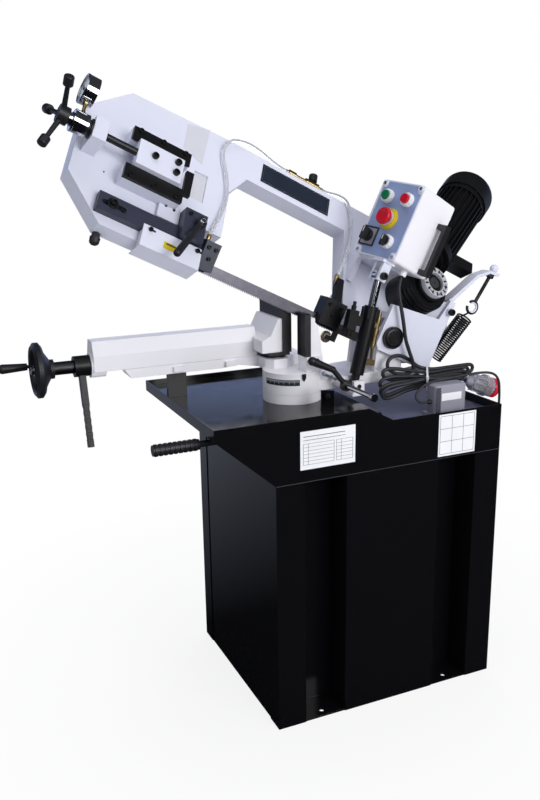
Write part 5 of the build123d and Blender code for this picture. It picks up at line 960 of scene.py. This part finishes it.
class SAW_OT_brush(bpy.types.Operator):
    """Wire brush with separate tufts on its hub"""
    bl_idname = "saw.brush"
    bl_label = "Wire Brush"

    def execute(self, context):
        centre = at(CUT, *BRUSH)
        spun("brush_hub", [(3.1, -1), (7.0, -1), (7.2, 2.4), (8.6, 2.8), (8.6, 11.4), (3.1, 11.7)],
             centre, 36, "bright_steel", "chip_brush")
        shape = bmesh.new()
        for row in range(TUFT_ROWS):
            for tuft in range(TUFTS):
                turn = share_of_turn(tuft + 0.5 * (row % 2), TUFTS)
                lean = rotated(7 * ((tuft * 7 + row * 3) % 5 - 2), "Z")
                spot = centre @ turn @ Matrix.Translation((8.0, 0, 3.6 + 1.8 * row)) @ lean
                brick(shape, (0, 6.2), (-0.45, 0.45), (-0.45, 0.45), 0.0, spot)
        bristles = keep("brush_bristles", shape, "bristle", "chip_brush", smooth=False)
        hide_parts("chip_brush")
        return {"FINISHED"}


class SAW_OT_finishes(bpy.types.Operator):
    """Gives every CAD piece its finish"""
    bl_idname = "saw.finishes"
    bl_label = "Finishes"

    def execute(self, context):
        make_finishes(context.scene.saw_finishes)
        for name, node in frame["nodes"].items():
            node.data.materials.clear()
            node.data.materials.append(FINISH[NODE_LOOK.get(name, NODE_FINISH[name])])
        return {"FINISHED"}


# Camera found from the photograph's straight edges, and the stage in metres
EYE = Vector((-1.0287, -1.8580, 1.2807))
HEADING = math.radians(24.004)
PITCH = math.radians(15.06)
ROLL = math.radians(0.863)
SENSOR = 36.0
LENS = 866.38 * SENSOR / 800.0
FLOOR_HALF = 30.0
SOFTBOX = (-0.33, -0.62, 0.71)
BACKDROP = (0.41, 0.91, 0.0)


class SAW_OT_stage(bpy.types.Operator):
    """Pale floor, soft lights and the camera"""
    bl_idname = "saw.stage"
    bl_label = "Stage"

    def execute(self, context):
        scene = context.scene
        scene.view_settings.view_transform = "Standard"
        lens = bpy.data.cameras.new("camera")
        lens.lens = LENS
        lens.sensor_width = SENSOR
        lens.clip_start = 0.05
        camera = bpy.data.objects.new("camera", lens)
        scene.collection.objects.link(camera)
        level = math.cos(PITCH)
        ahead = Vector((math.sin(HEADING) * level, math.cos(HEADING) * level, -math.sin(PITCH)))
        right = Vector((math.cos(HEADING), -math.sin(HEADING), 0))
        down = ahead.cross(right)
        across = right * math.cos(ROLL) + down * math.sin(ROLL)
        below = down * math.cos(ROLL) - right * math.sin(ROLL)
        turn = Matrix((across, -below, -ahead)).transposed().to_4x4()
        camera.matrix_world = Matrix.Translation(EYE) @ turn
        scene.camera = camera
        for name, spot, aim, size, power in (
            ("key", (0.9, -3.5, 1.9), (0, 0, 0.9), 2.0, 84),
            ("fill", (-3.2, -1.6, 1.6), (0, 0, 0.9), 2.4, 6),
            ("top", (0.2, 0.4, 3.6), (0, 0, 0.7), 2.6, 40),
            ("rear", (1.4, 2.8, 2.2), (0, 0, 0.8), 2.0, 24),
        ):
            lamp = bpy.data.lights.new(name, "AREA")
            lamp.size = size
            lamp.energy = power
            holder = bpy.data.objects.new(name, lamp)
            way = (Vector(aim) - Vector(spot)).to_track_quat("-Z", "Y").to_matrix().to_4x4()
            holder.matrix_world = Matrix.Translation(spot) @ way
            holder.visible_glossy = name == "key"
            scene.collection.objects.link(holder)
        self.light_room(scene)
        self.lay_floor(scene)
        return {"FINISHED"}

    def light_room(self, scene):
        """World that is white to the eye, soft as light, and shows one large softbox in reflections."""
        world = bpy.data.worlds.new("studio")
        world.use_nodes = True
        tree = world.node_tree
        tree.nodes.clear()
        rays = add(tree, "ShaderNodeLightPath")
        glossy = rays.outputs["Is Glossy Ray"]
        seen = calc(tree, "MAXIMUM", rays.outputs["Is Camera Ray"], rays.outputs["Is Transmission Ray"])
        place = add(tree, "ShaderNodeTexCoord")
        way = place.outputs["Generated"]
        near = add(tree, "ShaderNodeVectorMath", {0: way, 1: SOFTBOX}, operation="DOT_PRODUCT")
        rise = ramp(tree, near.outputs["Value"], 0.72, 0.9, 0.05, 0.9)
        facing_back = add(tree, "ShaderNodeVectorMath", {0: way, 1: BACKDROP}, operation="DOT_PRODUCT")
        spread = ramp(tree, facing_back.outputs["Value"], 0.3, 0.6)
        level = add(tree, "ShaderNodeSeparateXYZ", {0: way})
        edge = ramp(tree, level.outputs["Z"], 0.25, 0.29, 1.0, 0.0)
        sheet = calc(tree, "MULTIPLY", spread, edge)
        bright = calc(tree, "MAXIMUM", rise, sheet)
        power = add(tree, "ShaderNodeMix", {0: glossy, 2: 0.4, 3: bright})
        blue = calc(tree, "MULTIPLY", sheet, glossy)
        tint = add(tree, "ShaderNodeMixRGB", {0: blue, 1: (0.88, 0.91, 1.0, 1), 2: (0.42, 0.55, 1.0, 1)})
        soft = add(tree, "ShaderNodeBackground", {"Color": tint.outputs[0], "Strength": power.outputs[0]})
        white = add(tree, "ShaderNodeBackground", {"Color": (1, 1, 1, 1), "Strength": 1.0})
        both = add(tree, "ShaderNodeMixShader", {0: seen, 1: soft.outputs[0], 2: white.outputs[0]})
        add(tree, "ShaderNodeOutputWorld", {"Surface": both.outputs[0]})
        scene.world = world

    def lay_floor(self, scene):
        """Wide pale floor that still takes a shadow."""
        shape = bmesh.new()
        bmesh.ops.create_grid(shape, x_segments=1, y_segments=1, size=FLOOR_HALF)
        data = bpy.data.meshes.new("floor")
        shape.to_mesh(data)
        shape.free()
        made = bpy.data.materials.new("pale_floor")
        made.use_nodes = True
        tree = made.node_tree
        shader = tree.nodes["Principled BSDF"]
        shader.inputs["Base Color"].default_value = (0.9, 0.9, 0.9, 1)
        shader.inputs["Roughness"].default_value = 0.7
        rays = add(tree, "ShaderNodeLightPath")
        glow = add(tree, "ShaderNodeEmission", {"Color": (1, 1, 1, 1), "Strength": 1.0})
        place = add(tree, "ShaderNodeTexCoord")
        reach = add(tree, "ShaderNodeVectorMath", {0: place.outputs["Object"]}, operation="LENGTH")
        fade = ramp(tree, reach.outputs["Value"], 0.45, 1.3, 0.86, 1.0)
        share = calc(tree, "MULTIPLY", rays.outputs["Is Camera Ray"], fade)
        spot = add(tree, "ShaderNodeSeparateXYZ", {0: place.outputs["Object"]})
        behind = ramp(tree, spot.outputs["Y"], 0.3, 1.8, 0.01, 0.35)
        dull = add(tree, "ShaderNodeEmission", {"Color": (0.75, 0.8, 1.0, 1), "Strength": behind})
        base = add(tree, "ShaderNodeMixShader", {
            0: rays.outputs["Is Glossy Ray"], 1: shader.outputs[0], 2: dull.outputs[0]})
        both = add(tree, "ShaderNodeMixShader", {0: share, 1: base.outputs[0], 2: glow.outputs[0]})
        tree.links.new(both.outputs[0], tree.nodes["Material Output"].inputs["Surface"])
        data.materials.append(made)
        floor = bpy.data.objects.new("floor", data)
        scene.collection.objects.link(floor)


class SAW_PT_looks(bpy.types.Panel):
    """Lists the saw's pieces"""
    bl_idname = "SAW_PT_looks"
    bl_label = "Band Saw"
    bl_space_type = "VIEW_3D"
    bl_region_type = "UI"
    bl_category = "Band Saw"

    def draw(self, context):
        for name in SawFinishes.__annotations__:
            self.layout.prop(context.scene.saw_finishes, name)
        for name in SawSizes.__annotations__:
            self.layout.prop(context.scene.saw_sizes, name)
        for piece in PIECES:
            self.layout.operator(piece.bl_idname)


PIECES = (
    SAW_OT_finishes,
    SAW_OT_stage,
    SAW_OT_plug,
    SAW_OT_mains_cord,
    SAW_OT_hoses,
    SAW_OT_spring,
    SAW_OT_gauge,
    SAW_OT_panel,
    SAW_OT_labels,
    SAW_OT_screws,
    SAW_OT_vise,
    SAW_OT_brush,
)
CLASSES = (SawFinishes, SawSizes, *PIECES, SAW_PT_looks)


def register():
    for item in CLASSES:
        bpy.utils.register_class(item)
    bpy.types.Scene.saw_finishes = PointerProperty(type=SawFinishes)
    bpy.types.Scene.saw_sizes = PointerProperty(type=SawSizes)


def unregister():
    del bpy.types.Scene.saw_sizes
    del bpy.types.Scene.saw_finishes
    for item in reversed(CLASSES):
        bpy.utils.unregister_class(item)


def main():
    register()
    bpy.ops.saw.finishes()
    bpy.ops.saw.stage()
    bpy.ops.saw.plug()
    bpy.ops.saw.mains_cord()
    bpy.ops.saw.hoses()
    bpy.ops.saw.spring()
    bpy.ops.saw.gauge()
    bpy.ops.saw.panel()
    bpy.ops.saw.labels()
    bpy.ops.saw.screws()
    bpy.ops.saw.vise()
    bpy.ops.saw.brush()
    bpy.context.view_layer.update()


if __name__ == "__main__":
    main()
